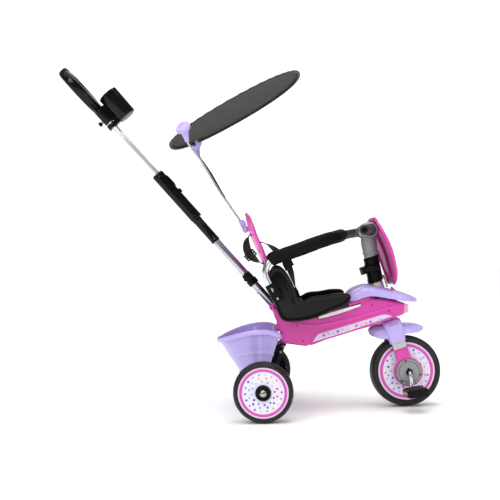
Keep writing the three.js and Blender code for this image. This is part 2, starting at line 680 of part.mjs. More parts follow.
SIDES.forEach(([name, side]) => {
  const hold = onCanopy(clampAlong, side * clampAcross);
  const discInner = clampAcross + 16;
  const path = [
    point(-46, side * 8, 508), point(-60, side * 8, 538), point(-86, side * 15, 577), point(-106, side * 34, 608),
    point(-161, side * 132, 704), point(-188, side * 165, 744), point(hold.x + 4, side * discInner, hold.z - 15),
  ];
  const line = [path[0], path[1], ...smooth(path.slice(1), 12).slice(1)];
  add(chassis, `strut_${name}`, sweep(line, strutSection, { up: point(0, 1, 0.2) }), SILVER);

  const stemFoot = point(hold.x + 8, side * (discInner - 3), hold.z - 33);
  const stemTop = point(hold.x + 1, side * (discInner + 4), hold.z - 8);
  const stem = turned([[0, 0], [5.8, 0], [8, 14], [11, 26], [0, 26]], stemFoot, stemTop, 14);
  const discProfile = [[0, 0], [18, 0], [21, 3], [21, 11], [18, 13.5], [0, 13.5]];
  const disc = turned(discProfile, point(hold.x, side * discInner, hold.z), point(hold.x, side * 400, hold.z), 24);
  const jaw = rod(
    point(hold.x, side * (clampAcross - 8), hold.z),
    point(hold.x, side * (discInner + 2), hold.z),
    11.5,
    0,
    18,
  );
  const nearby = hoopPath.filter((p) => p.distanceTo(hold) < 60);
  const hoopPiece = sweep(nearby, circle(HOOP_RADIUS + GAP, 8), { up: canopyUp });
  const hoopRoom = hullOf(CANOPY_TILT_STEPS.map((tilt) => turnedAbout(hoopPiece, hold.x, hold.z, tilt)));
  const clothRooms = CANOPY_TILT_STEPS.map((tilt) => turnedAbout(clothRoom, hold.x, hold.z, tilt));
  const strutHole = sweep(line, circle(3.2 + GAP, 8), { up: point(0, 1, 0.2) });
  add(chassis, `canopy_clamp_${name}`, cut(join(disc, jaw, stem), hoopRoom, ...clothRooms, strutHole), LILAC);
});

const bracketOutline = [[-41, 502], [-50, 503], [-64, 536], [-57, 541], [-47, 538], [-43.5, 530], [-38, 508]];
const bracketBlock = plate(bracketOutline, -17, 17);
const bracketHoles = SIDES.map(([, side]) => {
  return rod(point(-44, side * 8, 503.5), point(-62, side * 8, 542.5), 3.6, 0, 10);
});
add(chassis, "canopy_bracket", cut(bracketBlock, ...bracketHoles), LILAC);

// ---- Steering: everything that turns with the handlebar, built straight and upright --------------

// In this group X is forward, Y left and Z up the steering axis, from the front wheel's centre.
const forkOutline = [[-19, 68], [19, 68], [20, 118], [-20, 118]];
const forkBlade = (side) => plate(forkOutline, side * 33, side * 42);
function tongue(side, grow = 0) {
  return box(-14 - grow, 14 + grow, side * 37.5 - 2.5 - grow, side * 37.5 + 2.5 + grow, 56 - grow, 70);
}
const forkBridge = box(-20, 20, -42, 42, 108, 118);
const steererLow = rod(point(0, 0, 112), point(0, 0, 242), STEERER_RADIUS, 0, 20);
const steererHigh = rod(point(0, 0, 236), point(0, 0, 264.7), 19, 0, 24);
add(
  steering,
  "fork_stem",
  join(forkBlade(1), forkBlade(-1), tongue(1), tongue(-1), forkBridge, steererLow, steererHigh),
  SILVER,
);

const crownSection = (w, u0, u1, half) => {
  const shape = roundedRectangle(u1 - u0, half * 2, 9, 2);
  return shape.map(([a, b]) => point((u0 + u1) / 2 + a, b, w));
};
const crownBlock = loft([
  crownSection(87, -23, 23, 46),
  crownSection(130, -25, 27, 46),
  crownSection(148, -26, 26, 40),
  crownSection(152.5, -24, 24, 34),
]);

// Each station of the mudguard: place along, crest, hem and half width.
const guardStations = [
  [-62, 140, 134, 10],
  [-56, 146, 121, 26],
  [-40, 147, 108, 36],
  [-18, 143, 106, 38],
  [12, 133, 105, 38],
  [40, 127, 99, 34],
  [64, 118, 92, 24],
  [86, 104, 97, 8],
];

function guardSection([u, crest, hem, half]) {
  const wall = Math.min(3, half * 0.3);
  const rows = [[-1, hem], [-0.96, (crest * 2 + hem) / 3], [-0.7, crest]].map(([s, w]) => [s * half, w]);
  const all = [...rows, ...rows.map(([y, w]) => [-y, w]).reverse()];
  const shrink = (half - wall) / half;
  const inside = all.map(([y, w], i) => [y * shrink, i === 0 || i === all.length - 1 ? hem : w - wall]);
  return [...all, ...inside.reverse()].map(([y, w]) => point(u, y, w));
}

const wheelSpace = rod(point(0, -31, 0), point(0, 31, 0), FRONT_RADIUS + 4.5, 0, 36);
const crownHollow = box(-21, 21, -42.3, 42.3, 60, 118.3);
const steererSpace = rod(point(0, 0, 110), point(0, 0, 160), STEERER_RADIUS + GAP, 0, 20);
const crown = join(crownBlock, loft(guardStations.map(guardSection)));
add(steering, "fork_crown", cut(crown, wheelSpace, crownHollow, steererSpace), LILAC);

SIDES.forEach(([name, side]) => {
  const blade = plate([[-20, 0], [20, 0], [20, 67.6], [-20, 67.6]], side * 31, side * 45);
  const ring = rod(point(0, side * 31, 0), point(0, side * 45, 0), 40.5, 0, 30);
  const hole = rod(point(0, side * 20, 0), point(0, side * 60, 0), CRANK_RADIUS + GAP, 0, 16);
  add(steering, `fork_leg_${name}`, cut(join(blade, ring), hole, tongue(side, GAP)), PINK);
  const b = CRANK_RADIUS + GAP;
  const face = [[b, 0], [36.5, 0], [36.5, 6.5], [35, 8], [30, 8], [30, 6.5], [28.5, 6.5], [28.5, 9.5], [b, 9.5]];
  const cover = turned(face, point(0, side * 45.3, 0), point(0, side * 80, 0), 28, true);
  add(steering, `hub_cover_${name}`, cover, GREY);
});

// Front wheel.
const fw = FRONT_WIDTH;
const frontStart = point(0, -fw / 2, 0);
const frontEnd = point(0, fw / 2, 0);
const fi = FRONT_RIM_RADIUS + GAP;
const frontTyre = [
  [fi, 2.5], [88, 0], [95.5, 3.5], [99.3, 12], [FRONT_RADIUS, 25], [99.3, fw - 12], [95.5, fw - 3.5], [88, fw],
  [fi, fw - 2.5],
];
add(steering, "front_tyre", turned(frontTyre, frontStart, frontEnd, 36, true), RUBBER);
const fh = CRANK_RADIUS + GAP;
const frontRim = [
  [fh, 3.5], [FRONT_RIM_RADIUS, 3.5], [FRONT_RIM_RADIUS, fw - 3.5], [fh, fw - 3.5], [fh, fw - 7],
  [76, fw - 7], [76, 7], [fh, 7],
];
add(steering, "front_rim", turned(frontRim, frontStart, frontEnd, 36, true), WHITE);

// Crank: one bent steel rod through the wheel, with a pin for each pedal.
const armX = Math.cos(rad(CRANK_ANGLE));
const armZ = Math.sin(rad(CRANK_ANGLE));
const onCrank = (reach, y) => point(armX * reach, y, armZ * reach);
const crankPath = [
  onCrank(CRANK_LENGTH, -132), onCrank(CRANK_LENGTH, -73), onCrank(CRANK_LENGTH - 1.5, -68.5),
  onCrank(CRANK_LENGTH - 6, -66), onCrank(7, -65), onCrank(1.5, -63), onCrank(0, -58.5),
  onCrank(0, 58.5), onCrank(-1.5, 63), onCrank(-7, 65), onCrank(-CRANK_LENGTH + 6, 66),
  onCrank(-CRANK_LENGTH + 1.5, 68.5), onCrank(-CRANK_LENGTH, 73), onCrank(-CRANK_LENGTH, 132),
];
const crankUp = point(armX, 0, armZ).cross(point(0, 1, 0)).normalize();
add(steering, "crank", sweep(crankPath, circle(CRANK_RADIUS, 10), { up: crankUp }), SILVER);

SIDES.forEach(([name, side]) => {
  const centre = onCrank(-side * CRANK_LENGTH, side * 105);
  const [length, width, height] = PEDAL_SIZE;
  const block = sweep(
    [-0.5, -0.46, 0.46, 0.5].map((share) => centre.clone().add(point(0, share * width, 0))),
    roundedRectangle(length, height, 6, 2),
    { up: point(0.14, 0, 1), scale: (s) => (s === 0 || s === 1 ? 0.94 : 1) },
  );
  const pinHole = rod(point(centre.x, side * 60, centre.z), point(centre.x, side * 140, centre.z), CRANK_RADIUS + GAP, 0, 14);
  add(steering, `pedal_${name}`, cut(block, pinHole), BLACK);
});

// Column clamp with its lever, hub, handlebar and grips.
const disk = (u, w, radius) => circle(radius, 20).map(([a, b]) => point(u + a, b, w));
const clampBody = loft([disk(0, 265, 20.5), disk(1, 270, 22), disk(8, 330, 22), disk(9.5, 338, 21)]);
const ears = SIDES.map(([, side]) => box(-32, -12, side * 4, side * 10, 296, 318));
add(steering, "column_clamp", join(clampBody, ...ears), BLACK);

const leverPath = [
  point(-26, -17, 307), point(-20, -26, 307), point(-6, -31, 306), point(8, -32.5, 305), point(20, -31, 303),
];
const leverArm = sweep(smooth(leverPath, 10), roundedRectangle(14, 5, 2, 1), { up: point(0, -1, 0.05) });
const leverBarrel = rod(point(-25, -17, 298), point(-25, -17, 316), 6.5, 0, 14);
add(steering, "clamp_lever", join(leverArm, leverBarrel), BLACK);

const BAR_CENTRE = { u: 25, w: 412 };
const hubNeck = loft([disk(9.6, 338.4, 20.5), disk(12, 350, 21), disk(17, 378, 23.5), disk(24, 412, 19)]);
const barrel = turned(
  [[0, 0], [19, 0], [22, 6], [23.5, 44], [22, 82], [19, 88], [0, 88]],
  point(BAR_CENTRE.u, -44, BAR_CENTRE.w),
  point(BAR_CENTRE.u, 44, BAR_CENTRE.w),
  18,
);
const gripInner = (side) => point(18, side * 70, 412.6);
const gripOuter = (side) => point(-15, side * 155, 418.5);
const barPath = [
  gripOuter(-1).lerp(gripInner(-1), 0.06), gripInner(-1), point(25, -42, 412), point(25, 42, 412),
  gripInner(1), gripOuter(1).lerp(gripInner(1), 0.06),
];
const barLine = [barPath[0], ...smooth(barPath.slice(1, 5), 9), barPath[5]];
const barHoleInHub = sweep(barLine, circle(10 + GAP, 12), { up: point(0, 0, 1) });
add(steering, "handlebar_hub", cut(join(hubNeck, barrel), barHoleInHub), GREY);
add(steering, "handlebar", sweep(barLine, circle(10, 12), { up: point(0, 0, 1) }), SILVER);

SIDES.forEach(([name, side]) => {
  const inner = gripInner(side);
  const outer = gripOuter(side);
  const from = inner.clone().lerp(outer, -0.08);
  const length = from.distanceTo(outer);
  const profile = [
    [0, 0], [17, 0], [18, 2.5], [17, 5], [13.4, 6.5], [12.6, 40], [13.2, length - 3], [11.5, length], [0, length],
  ];
  const solid = turned(profile, from, outer, 16);
  add(steering, `grip_${name}`, cut(solid, barHoleInHub), GREY);
});

// Front shield: each station is height, forward place of its middle and half width.
const shieldStations = [
  [248, 50, 34],
  [258, 57, 52],
  [286, 64.5, 74],
  [331, 68, 88],
  [370, 66, 92],
  [400, 61, 86],
  [425, 58, 66],
  [438, 56, 40],
];
const SHIELD_WALL = 3.5;

function shieldSection([w, u, half]) {
  const shares = [-1, -0.75, -0.4, 0, 0.4, 0.75, 1];
  const bend = 15 * (half / 92);
  const front = shares.map((s) => point(u - bend * s * s, half * s, w));
  const rear = shares.map((s) => point(u - SHIELD_WALL - bend * s * s, half * s * 0.98, w));
  return [...front, ...rear.reverse()];
}

const shieldBoss = rod(point(49.3, 0, 408), point(59, 0, 408), 9, 0, 16);
const shieldTab = box(32, 55, -14, 14, 436.2, 438.6);
add(steering, "shield", join(loft(shieldStations.map(shieldSection)), shieldBoss, shieldTab), PINK);
add(steering, "shield_stay", rod(point(27.5, 0, 235), point(27.5, 0, 277), 2.6, 0, 10), SILVER);

steering.rotation.set(0, -rad(STEERING_TILT), 0);
steering.rotateZ(rad(STEERING_TURN));
steering.position.set(WHEELBASE, 0, FRONT_RADIUS + 0.4);

// ---- Frame: origin in the middle of the footprint, on the floor -----------------------------------

tricycle.updateMatrixWorld(true);
const bounds = new THREE.Box3().setFromObject(tricycle, true);
const centre = bounds.getCenter(new THREE.Vector3());
tricycle.position.set(-centre.x, -centre.y, -bounds.min.z);
tricycle.updateMatrixWorld(true);

export default tricycle;
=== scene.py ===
"""Looks of a children's tricycle with a push bar, sun canopy, safety ring and rear basket.

Shapes are drawn in millimetres and put into the frame's metres. The chassis has its origin on the floor below
the rear axle. Everything that steers is in the steering axis's own frame, from the front wheel's centre.
"""

import json
import math

import bmesh
import bpy
import numpy as np
from mathutils import Matrix, Vector


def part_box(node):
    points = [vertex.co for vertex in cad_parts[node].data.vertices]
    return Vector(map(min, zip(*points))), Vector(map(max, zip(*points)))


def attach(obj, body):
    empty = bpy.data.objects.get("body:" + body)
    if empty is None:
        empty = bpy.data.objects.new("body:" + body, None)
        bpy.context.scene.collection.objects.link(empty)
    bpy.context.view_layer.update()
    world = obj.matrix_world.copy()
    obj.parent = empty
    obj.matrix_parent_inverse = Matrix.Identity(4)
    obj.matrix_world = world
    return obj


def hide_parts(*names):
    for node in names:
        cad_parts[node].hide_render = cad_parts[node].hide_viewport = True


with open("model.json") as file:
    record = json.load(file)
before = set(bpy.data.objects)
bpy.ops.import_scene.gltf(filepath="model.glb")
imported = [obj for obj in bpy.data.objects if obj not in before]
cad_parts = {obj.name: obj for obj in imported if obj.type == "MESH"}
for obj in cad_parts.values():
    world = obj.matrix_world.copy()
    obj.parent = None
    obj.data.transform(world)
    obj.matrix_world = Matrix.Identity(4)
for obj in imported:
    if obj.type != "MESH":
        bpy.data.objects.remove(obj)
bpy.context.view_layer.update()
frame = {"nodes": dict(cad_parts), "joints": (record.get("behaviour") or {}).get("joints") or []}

# ---- Frames ------------------------------------------------------------------------------------

MM = 0.001
joint = {j["name"]: j for j in frame["joints"]}


def middle(node):
    low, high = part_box(node)
    return (low + high) / 2


axle = middle("rear_axle")
CHASSIS = Matrix.Translation((axle.x, 0, 0)) @ Matrix.Scale(MM, 4)

steer_up = Vector(joint["steering_turn"]["axis"]).normalized()
steer_left = Vector(joint["front_wheel_spin"]["axis"]).normalized()
steer_forward = steer_left.cross(steer_up).normalized()
wheel_centre = Vector(joint["steering_turn"]["pos_m"])
turn = Matrix((steer_forward, steer_left, steer_up)).transposed().to_4x4()
STEERING = Matrix.Translation(wheel_centre) @ turn @ Matrix.Scale(MM, 4)

SIDES = (("left", 1), ("right", -1))


def vec(*c):
    return np.array(c, float)


def unit(v):
    return v / np.linalg.norm(v)


def in_chassis(point):
    """A point of the frame, in the chassis's millimetres."""
    return np.array(CHASSIS.inverted() @ Vector(point))


bar_up = -np.array(joint["push_bar_slide"]["axis"], float)
bar_out = -np.array(joint["release_button_press"]["axis"], float)
LOWER_TUBE_MIDDLE = 112.5  # along the bar from its foot
bar_foot = in_chassis(middle("push_tube_lower")) - bar_up * LOWER_TUBE_MIDDLE


def on_bar(t, n=0, y=0):
    return bar_foot + bar_up * t + bar_out * n + vec(0, y, 0)


CANOPY_TILT = math.radians(28)
canopy_along = vec(math.cos(CANOPY_TILT), 0, math.sin(CANOPY_TILT))
canopy_up = vec(-math.sin(CANOPY_TILT), 0, math.cos(CANOPY_TILT))
canopy_middle = in_chassis(middle("canopy_hoop"))


def on_canopy(s, y, h=0):
    return canopy_middle + canopy_along * s + canopy_up * h + vec(0, y, 0)


# ---- Shapes: each is (points, faces, material index of each face) --------------------------------


def loft(rows, ring=False, closed=True, caps=True, mark=0):
    """Rows of points joined by faces. closed joins each row's ends, ring joins the last row to the first."""
    count = len(rows[0])
    points = [tuple(p) for row in rows for p in row]
    faces = []
    for r in range(len(rows) if ring else len(rows) - 1):
        below, above = r * count, ((r + 1) % len(rows)) * count
        for i in range(count if closed else count - 1):
            j = (i + 1) % count
            faces.append((below + i, below + j, above + j, above + i))
    if caps and closed and not ring:
        faces.append(tuple(reversed(range(count))))
        faces.append(tuple(range((len(rows) - 1) * count, len(rows) * count)))
    return points, faces, [mark] * len(faces)


def circle(radius, sides=32):
    angles = [2 * math.pi * i / sides for i in range(sides)]
    return [(radius * math.cos(a), radius * math.sin(a)) for a in angles]


def rounded(width, height, corner, steps=5):
    """A rectangle with round corners."""
    out = []
    for quarter, (sx, sy) in enumerate(((1, 1), (-1, 1), (-1, -1), (1, -1))):
        for k in range(steps + 1):
            angle = math.radians(90 * quarter + 90 * k / steps)
            out.append((
                sx * (width / 2 - corner) + corner * math.cos(angle),
                sy * (height / 2 - corner) + corner * math.sin(angle),
            ))
    return out


def spline(points, count, ring=False):
    """An evenly spaced smooth line through points. A ring leaves out the repeated first point."""
    p = np.array(points, float)
    if ring:
        p = np.vstack([p[-1], p, p[0], p[1]])
    else:
        p = np.vstack([2 * p[0] - p[1], p, 2 * p[-1] - p[-2]])
    fine = []
    for a, b, c, d in zip(p, p[1:], p[2:], p[3:]):
        t1 = np.linalg.norm(b - a) ** 0.5 + 1e-9
        t2 = t1 + np.linalg.norm(c - b) ** 0.5 + 1e-9
        t3 = t2 + np.linalg.norm(d - c) ** 0.5 + 1e-9
        for t in np.linspace(t1, t2, 20, endpoint=False):
            ab = (a * (t1 - t) + b * t) / t1
            bc = (b * (t2 - t) + c * (t - t1)) / (t2 - t1)
            cd = (c * (t3 - t) + d * (t - t2)) / (t3 - t2)
            abc = (ab * (t2 - t) + bc * t) / t2
            bcd = (bc * (t3 - t) + cd * (t - t1)) / (t3 - t1)
            fine.append((abc * (t2 - t) + bcd * (t - t1)) / (t2 - t1))
    fine.append(p[-2])
    fine = np.array(fine)
    length = np.concatenate([[0], np.cumsum(np.linalg.norm(np.diff(fine, axis=0), axis=1))])
    at = np.linspace(0, length[-1], count + 1 if ring else count)
    out = np.array([np.interp(at, length, fine[:, k]) for k in range(fine.shape[1])]).T
    return out[:-1] if ring else out


def sweep(path, section, up=(0, 0, 1), ring=False, nose=0, blunt=0.6, mark=0, size=None):
    """A section run along a path, its second axis leaning towards up. nose rounds both ends."""
    path = np.array(path, float)
    count = len(path)
    reach = np.concatenate([[0], np.cumsum(np.linalg.norm(np.diff(path, axis=0), axis=1))])
    rows = []
    for i, p in enumerate(path):
        before = path[i - 1] if ring or i else p
        after = path[(i + 1) % count] if ring or i < count - 1 else p
        along = unit(after - before)
        side = unit(np.cross(along, up))
        top = np.cross(side, along)
        k = 1.0 if size is None else size(i / (count - 1))
        if nose:
            near = min(1.0, min(reach[i], reach[-1] - reach[i]) / nose)
            k *= blunt + (1 - blunt) * math.sqrt(1 - (1 - near) ** 2)
        rows.append([p + side * a * k + top * b * k for a, b in section])
    return loft(rows, ring=ring, mark=mark)


def nosed(path, nose, steps=5):
    """The path with extra points near both ends, where a round end needs them."""
    path = np.array(path, float)
    reach = np.concatenate([[0], np.cumsum(np.linalg.norm(np.diff(path, axis=0), axis=1))])
    extra = [nose * (1 - math.cos(math.pi / 2 * k / steps)) for k in range(steps + 1)]
    at = sorted(set(extra + [reach[-1] - e for e in extra]
        + [r for r in reach if nose < r < reach[-1] - nose]))
    return np.array([np.interp(at, reach, path[:, k]) for k in range(3)]).T


def turned(profile, start, end, sides=64, marks=None):
    """A turned solid. profile holds (radius, distance along the axis). It closes on itself or on the axis."""
    start, end = np.array(start, float), np.array(end, float)
    along = unit(end - start)
    helper = vec(0, 0, 1) if abs(along[2]) < 0.9 else vec(1, 0, 0)
    across = unit(np.cross(along, helper))
    other = np.cross(along, across)
    on_axis = profile[0][0] == 0 and profile[-1][0] == 0
    rows = []
    for k in range(sides):
        angle = 2 * math.pi * k / sides
        spoke = across * math.cos(angle) + other * math.sin(angle)
        rows.append([start + along * s + spoke * r for r, s in profile])
    points, faces, index = loft(rows, ring=True, closed=not on_axis)
    if marks:
        per_row = len(profile) - 1 if on_axis else len(profile)
        index = [marks[f % per_row] for f in range(len(faces))]
    return points, faces, index


def rod(start, end, radius, sides=32, soft=1.0, mark=0):
    """A straight bar with slightly rounded ends."""
    length = float(np.linalg.norm(np.array(end, float) - np.array(start, float)))
    profile = [
        (0, 0), (radius - soft, 0), (radius - 0.3 * soft, 0.3 * soft), (radius, soft),
        (radius, length - soft),
        (radius - 0.3 * soft, length - 0.3 * soft), (radius - soft, length), (0, length),
    ]
    points, faces, index = turned(profile, start, end, sides)
    return points, faces, [mark] * len(index)


def pipe(start, end, radius, bore, sides=40):
    length = float(np.linalg.norm(np.array(end, float) - np.array(start, float)))
    edge = min(1.0, (radius - bore) / 2.5)
    profile = [
        (bore, 0), (radius - edge, 0), (radius, edge), (radius, length - edge), (radius - edge, length),
        (bore, length),
    ]
    return turned(profile, start, end, sides)


def plate(outline, y0, y1, mark=0):
    """An outline in the XZ plane made solid between two values of Y."""
    rows = [[(x, y, z) for x, z in outline] for y in (y0, y1)]
    return loft(rows, mark=mark)


def block(low, high, mark=0):
    (x0, y0, z0), (x1, y1, z1) = low, high
    return plate([(x0, z0), (x1, z0), (x1, z1), (x0, z1)], y0, y1, mark)


def shell(rows, thickness, closed=False, mark=0):
    """A wall of even thickness behind a grid of points. closed joins each row's ends."""
    grid = np.array(rows, float)
    if closed:
        across = np.roll(grid, -1, 1) - np.roll(grid, 1, 1)
    else:
        across = np.gradient(grid, axis=1)
    along = np.gradient(grid, axis=0)
    normal = np.cross(across, along)
    normal /= np.linalg.norm(normal, axis=2, keepdims=True) + 1e-12
    inner = grid - normal * thickness
    count_r, count_c = grid.shape[:2]
    points = [tuple(p) for p in grid.reshape(-1, 3)] + [tuple(p) for p in inner.reshape(-1, 3)]
    shift = count_r * count_c
    faces = []
    columns = count_c if closed else count_c - 1
    for r in range(count_r - 1):
        for c in range(columns):
            d = (c + 1) % count_c
            quad = (r * count_c + c, r * count_c + d, (r + 1) * count_c + d, (r + 1) * count_c + c)
            faces.append(quad)
            faces.append(tuple(shift + i for i in reversed(quad)))
    for c in range(columns):
        d = (c + 1) % count_c
        faces.append((c, shift + c, shift + d, d))
        last = (count_r - 1) * count_c
        faces.append((last + d, shift + last + d, shift + last + c, last + c))
    if not closed:
        for r in range(count_r - 1):
            a, b = r * count_c, (r + 1) * count_c
            faces.append((a, b, shift + b, shift + a))
            a, b = a + count_c - 1, b + count_c - 1
            faces.append((b, a, shift + a, shift + b))
    return points, faces, [mark] * len(faces)


def marked(shape, mark):
    return shape[0], shape[1], [mark] * len(shape[1])


# ---- Meshes --------------------------------------------------------------------------------------


def mesh_of(name, shapes, where):
    points, faces, index = [], [], []
    for shape_points, shape_faces, shape_index in shapes:
        first = len(points)
        points += [where @ Vector(p) for p in shape_points]
        faces += [tuple(first + i for i in face) for face in shape_faces]
        index += shape_index
    mesh = bpy.data.meshes.new(name)
    mesh.from_pydata(points, [], faces)
    mesh.polygons.foreach_set("material_index", index)
    return mesh


def tidy(mesh, merge=1e-6):
    work = bmesh.new()
    work.from_mesh(mesh)
    bmesh.ops.remove_doubles(work, verts=work.verts, dist=merge)
    bmesh.ops.dissolve_degenerate(work, edges=work.edges, dist=merge)
    bmesh.ops.recalc_face_normals(work, faces=work.faces)
    work.to_mesh(mesh)
    work.free()


def baked(obj):
    """The object's mesh with its modifiers applied."""
    depsgraph = bpy.context.evaluated_depsgraph_get()
    made = bpy.data.meshes.new_from_object(obj.evaluated_get(depsgraph), depsgraph=depsgraph)
    obj.modifiers.clear()
    old = obj.data
    obj.data = made
    bpy.data.meshes.remove(old)
    return obj


def carve(obj, shapes, where):
    """Cuts closed shapes out of obj."""
    for shape in shapes:
        tool_mesh = mesh_of("tool", [shape], where)
        tidy(tool_mesh)
        tool = bpy.data.objects.new("tool", tool_mesh)
        bpy.context.scene.collection.objects.link(tool)
        cut = obj.modifiers.new("cut", "BOOLEAN")
        cut.operation = "DIFFERENCE"
        cut.solver = "EXACT"
        cut.object = tool
        baked(obj)
        bpy.data.objects.remove(tool)
    return obj


def finish_piece(obj, name, body, materials, replaces, smooth):
    obj.name = name
    obj.data.name = name
    index = [0] * len(obj.data.polygons)
    obj.data.polygons.foreach_get("material_index", index)
    obj.data.materials.clear()
    for m in materials if isinstance(materials, (list, tuple)) else [materials]:
        obj.data.materials.append(m)
    obj.data.polygons.foreach_set("material_index", index)
    obj.data.polygons.foreach_set("use_smooth", [True] * len(obj.data.polygons))
    if smooth < 180:
        obj.data.set_sharp_from_angle(angle=math.radians(smooth))
    obj.data.update()
    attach(obj, body)
    if replaces:
        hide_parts(*replaces)
    return obj


def piece(name, body, materials, shapes, where=CHASSIS, replaces=(), smooth=35, cuts=(), rounds=0):
    """A piece made of closed shapes. rounds adds that many levels of subdivision."""
    mesh = mesh_of(name, shapes, where)
    tidy(mesh)
    obj = bpy.data.objects.new(name, mesh)
    bpy.context.scene.collection.objects.link(obj)
    if rounds:
        level = obj.modifiers.new("rounds", "SUBSURF")
        level.levels = level.render_levels = rounds
        baked(obj)
    carve(obj, cuts, where)
    return finish_piece(obj, name, body, materials, replaces, smooth)


def moulded(name, body, materials, voxel, passes, nodes=(), shapes=(), where=CHASSIS, replaces=None,
    cuts=()):
    """One moulding with soft edges: CAD nodes and extra shapes fused, then smoothed."""
    mesh = mesh_of(name, shapes, where)
    work = bmesh.new()
    work.from_mesh(mesh)
    for node in nodes:
        work.from_mesh(frame["nodes"][node].data)
    bmesh.ops.remove_doubles(work, verts=work.verts, dist=1e-6)
    bmesh.ops.recalc_face_normals(work, faces=work.faces)
    work.to_mesh(mesh)
    work.free()
    obj = bpy.data.objects.new(name, mesh)
    bpy.context.scene.collection.objects.link(obj)
    remesh = obj.modifiers.new("fuse", "REMESH")
    remesh.mode = "VOXEL"
    remesh.voxel_size = voxel * MM
    baked(obj)
    carve(obj, cuts, where)
    soften = obj.modifiers.new("soften", "SMOOTH")
    soften.factor = 0.5
    soften.iterations = passes
    baked(obj)
    return finish_piece(obj, name, body, materials, nodes if replaces is None else replaces, 180)


# ---- Materials -----------------------------------------------------------------------------------


def node_of(tree, kind, **values):
    made = tree.nodes.new("ShaderNode" + kind)
    for key, value in values.items():
        if key in made.inputs:
            made.inputs[key].default_value = value
        else:
            setattr(made, key, value)
    return made


def material(name, colour, rough, metal=0.0, coat=0.0, sheen=0.0, spread=0.05, grain=900, depth=0.02,
             rough_spread=0.05, weave=0, weave_depth=0.25, speckle=None, speckle_scale=700, speckle_size=0.2,
             rotate=0.0, specular=0.5):
    """A surface with slight colour and gloss variation and a fine grain. weave is a thread's width in mm."""
    made = bpy.data.materials.new(name)
    made.use_nodes = True
    tree = made.node_tree
    shader = tree.nodes["Principled BSDF"]
    shader.inputs["Metallic"].default_value = metal
    shader.inputs["Coat Weight"].default_value = coat
    shader.inputs["Coat Roughness"].default_value = 0.06
    shader.inputs["Sheen Weight"].default_value = sheen
    shader.inputs["Sheen Roughness"].default_value = 0.5
    shader.inputs["Specular IOR Level"].default_value = specular
    place = node_of(tree, "TexCoord")
    coordinates = place.outputs["Object"]
    if rotate:
        turned_place = node_of(tree, "Mapping")
        turned_place.inputs["Rotation"].default_value = (0, rotate, 0)
        tree.links.new(coordinates, turned_place.inputs["Vector"])
        coordinates = turned_place.outputs["Vector"]

    broad = node_of(tree, "TexNoise", Scale=14.0, Detail=3.0)
    tree.links.new(coordinates, broad.inputs["Vector"])
    shade = node_of(tree, "ValToRGB")
    dark = [c * (1 - spread) for c in colour]
    light = [min(1, c * (1 + spread) + 0.01 * spread) for c in colour]
    shade.color_ramp.elements[0].position = 0.3
    shade.color_ramp.elements[0].color = (*dark, 1)
    shade.color_ramp.elements[1].position = 0.7
    shade.color_ramp.elements[1].color = (*light, 1)
    tree.links.new(broad.outputs["Fac"], shade.inputs["Fac"])
    result = shade.outputs["Color"]

    if speckle:
        cells = node_of(tree, "TexVoronoi", Scale=float(speckle_scale))
        tree.links.new(coordinates, cells.inputs["Vector"])
        spot = node_of(tree, "ValToRGB")
        spot.color_ramp.elements[0].position = speckle_size * 0.7
        spot.color_ramp.elements[0].color = (1, 1, 1, 1)
        spot.color_ramp.elements[1].position = speckle_size
        spot.color_ramp.elements[1].color = (0, 0, 0, 1)
        tree.links.new(cells.outputs["Distance"], spot.inputs["Fac"])
        mix = node_of(tree, "Mix", data_type="RGBA")
        tree.links.new(spot.outputs["Color"], mix.inputs["Factor"])
        first, second = (s for s in mix.inputs if s.type == "RGBA")
        tree.links.new(result, first)
        second.default_value = (*speckle, 1)
        result = next(s for s in mix.outputs if s.type == "RGBA")
    tree.links.new(result, shader.inputs["Base Color"])

    fine = node_of(tree, "TexNoise", Scale=float(grain), Detail=4.0)
    tree.links.new(coordinates, fine.inputs["Vector"])
    gloss = node_of(tree, "MapRange")
    gloss.inputs["To Min"].default_value = max(0.02, rough - rough_spread)
    gloss.inputs["To Max"].default_value = min(1.0, rough + rough_spread)
    tree.links.new(broad.outputs["Fac"], gloss.inputs["Value"])
    tree.links.new(gloss.outputs["Result"], shader.inputs["Roughness"])

    bump = node_of(tree, "Bump", Strength=depth)
    bump.inputs["Distance"].default_value = 0.0006
    tree.links.new(fine.outputs["Fac"], bump.inputs["Height"])
    normal = bump.outputs["Normal"]
    if weave:
        scale = 2 * math.pi / (20 * weave * 2 * MM)
        threads = []
        for direction in ("X", "Y"):
            wave = node_of(tree, "TexWave", Scale=scale, bands_direction=direction, Distortion=0.4)
            wave.inputs["Detail"].default_value = 1.0
            tree.links.new(coordinates, wave.inputs["Vector"])
            threads.append(wave)
        cross = node_of(tree, "Math", operation="MAXIMUM")
        tree.links.new(threads[0].outputs["Fac"], cross.inputs[0])
        tree.links.new(threads[1].outputs["Fac"], cross.inputs[1])
        cloth = node_of(tree, "Bump", Strength=weave_depth)
        cloth.inputs["Distance"].default_value = 0.0004
        tree.links.new(cross.outputs["Value"], cloth.inputs["Height"])
        tree.links.new(normal, cloth.inputs["Normal"])
        normal = cloth.outputs["Normal"]
    tree.links.new(normal, shader.inputs["Normal"])
    return made


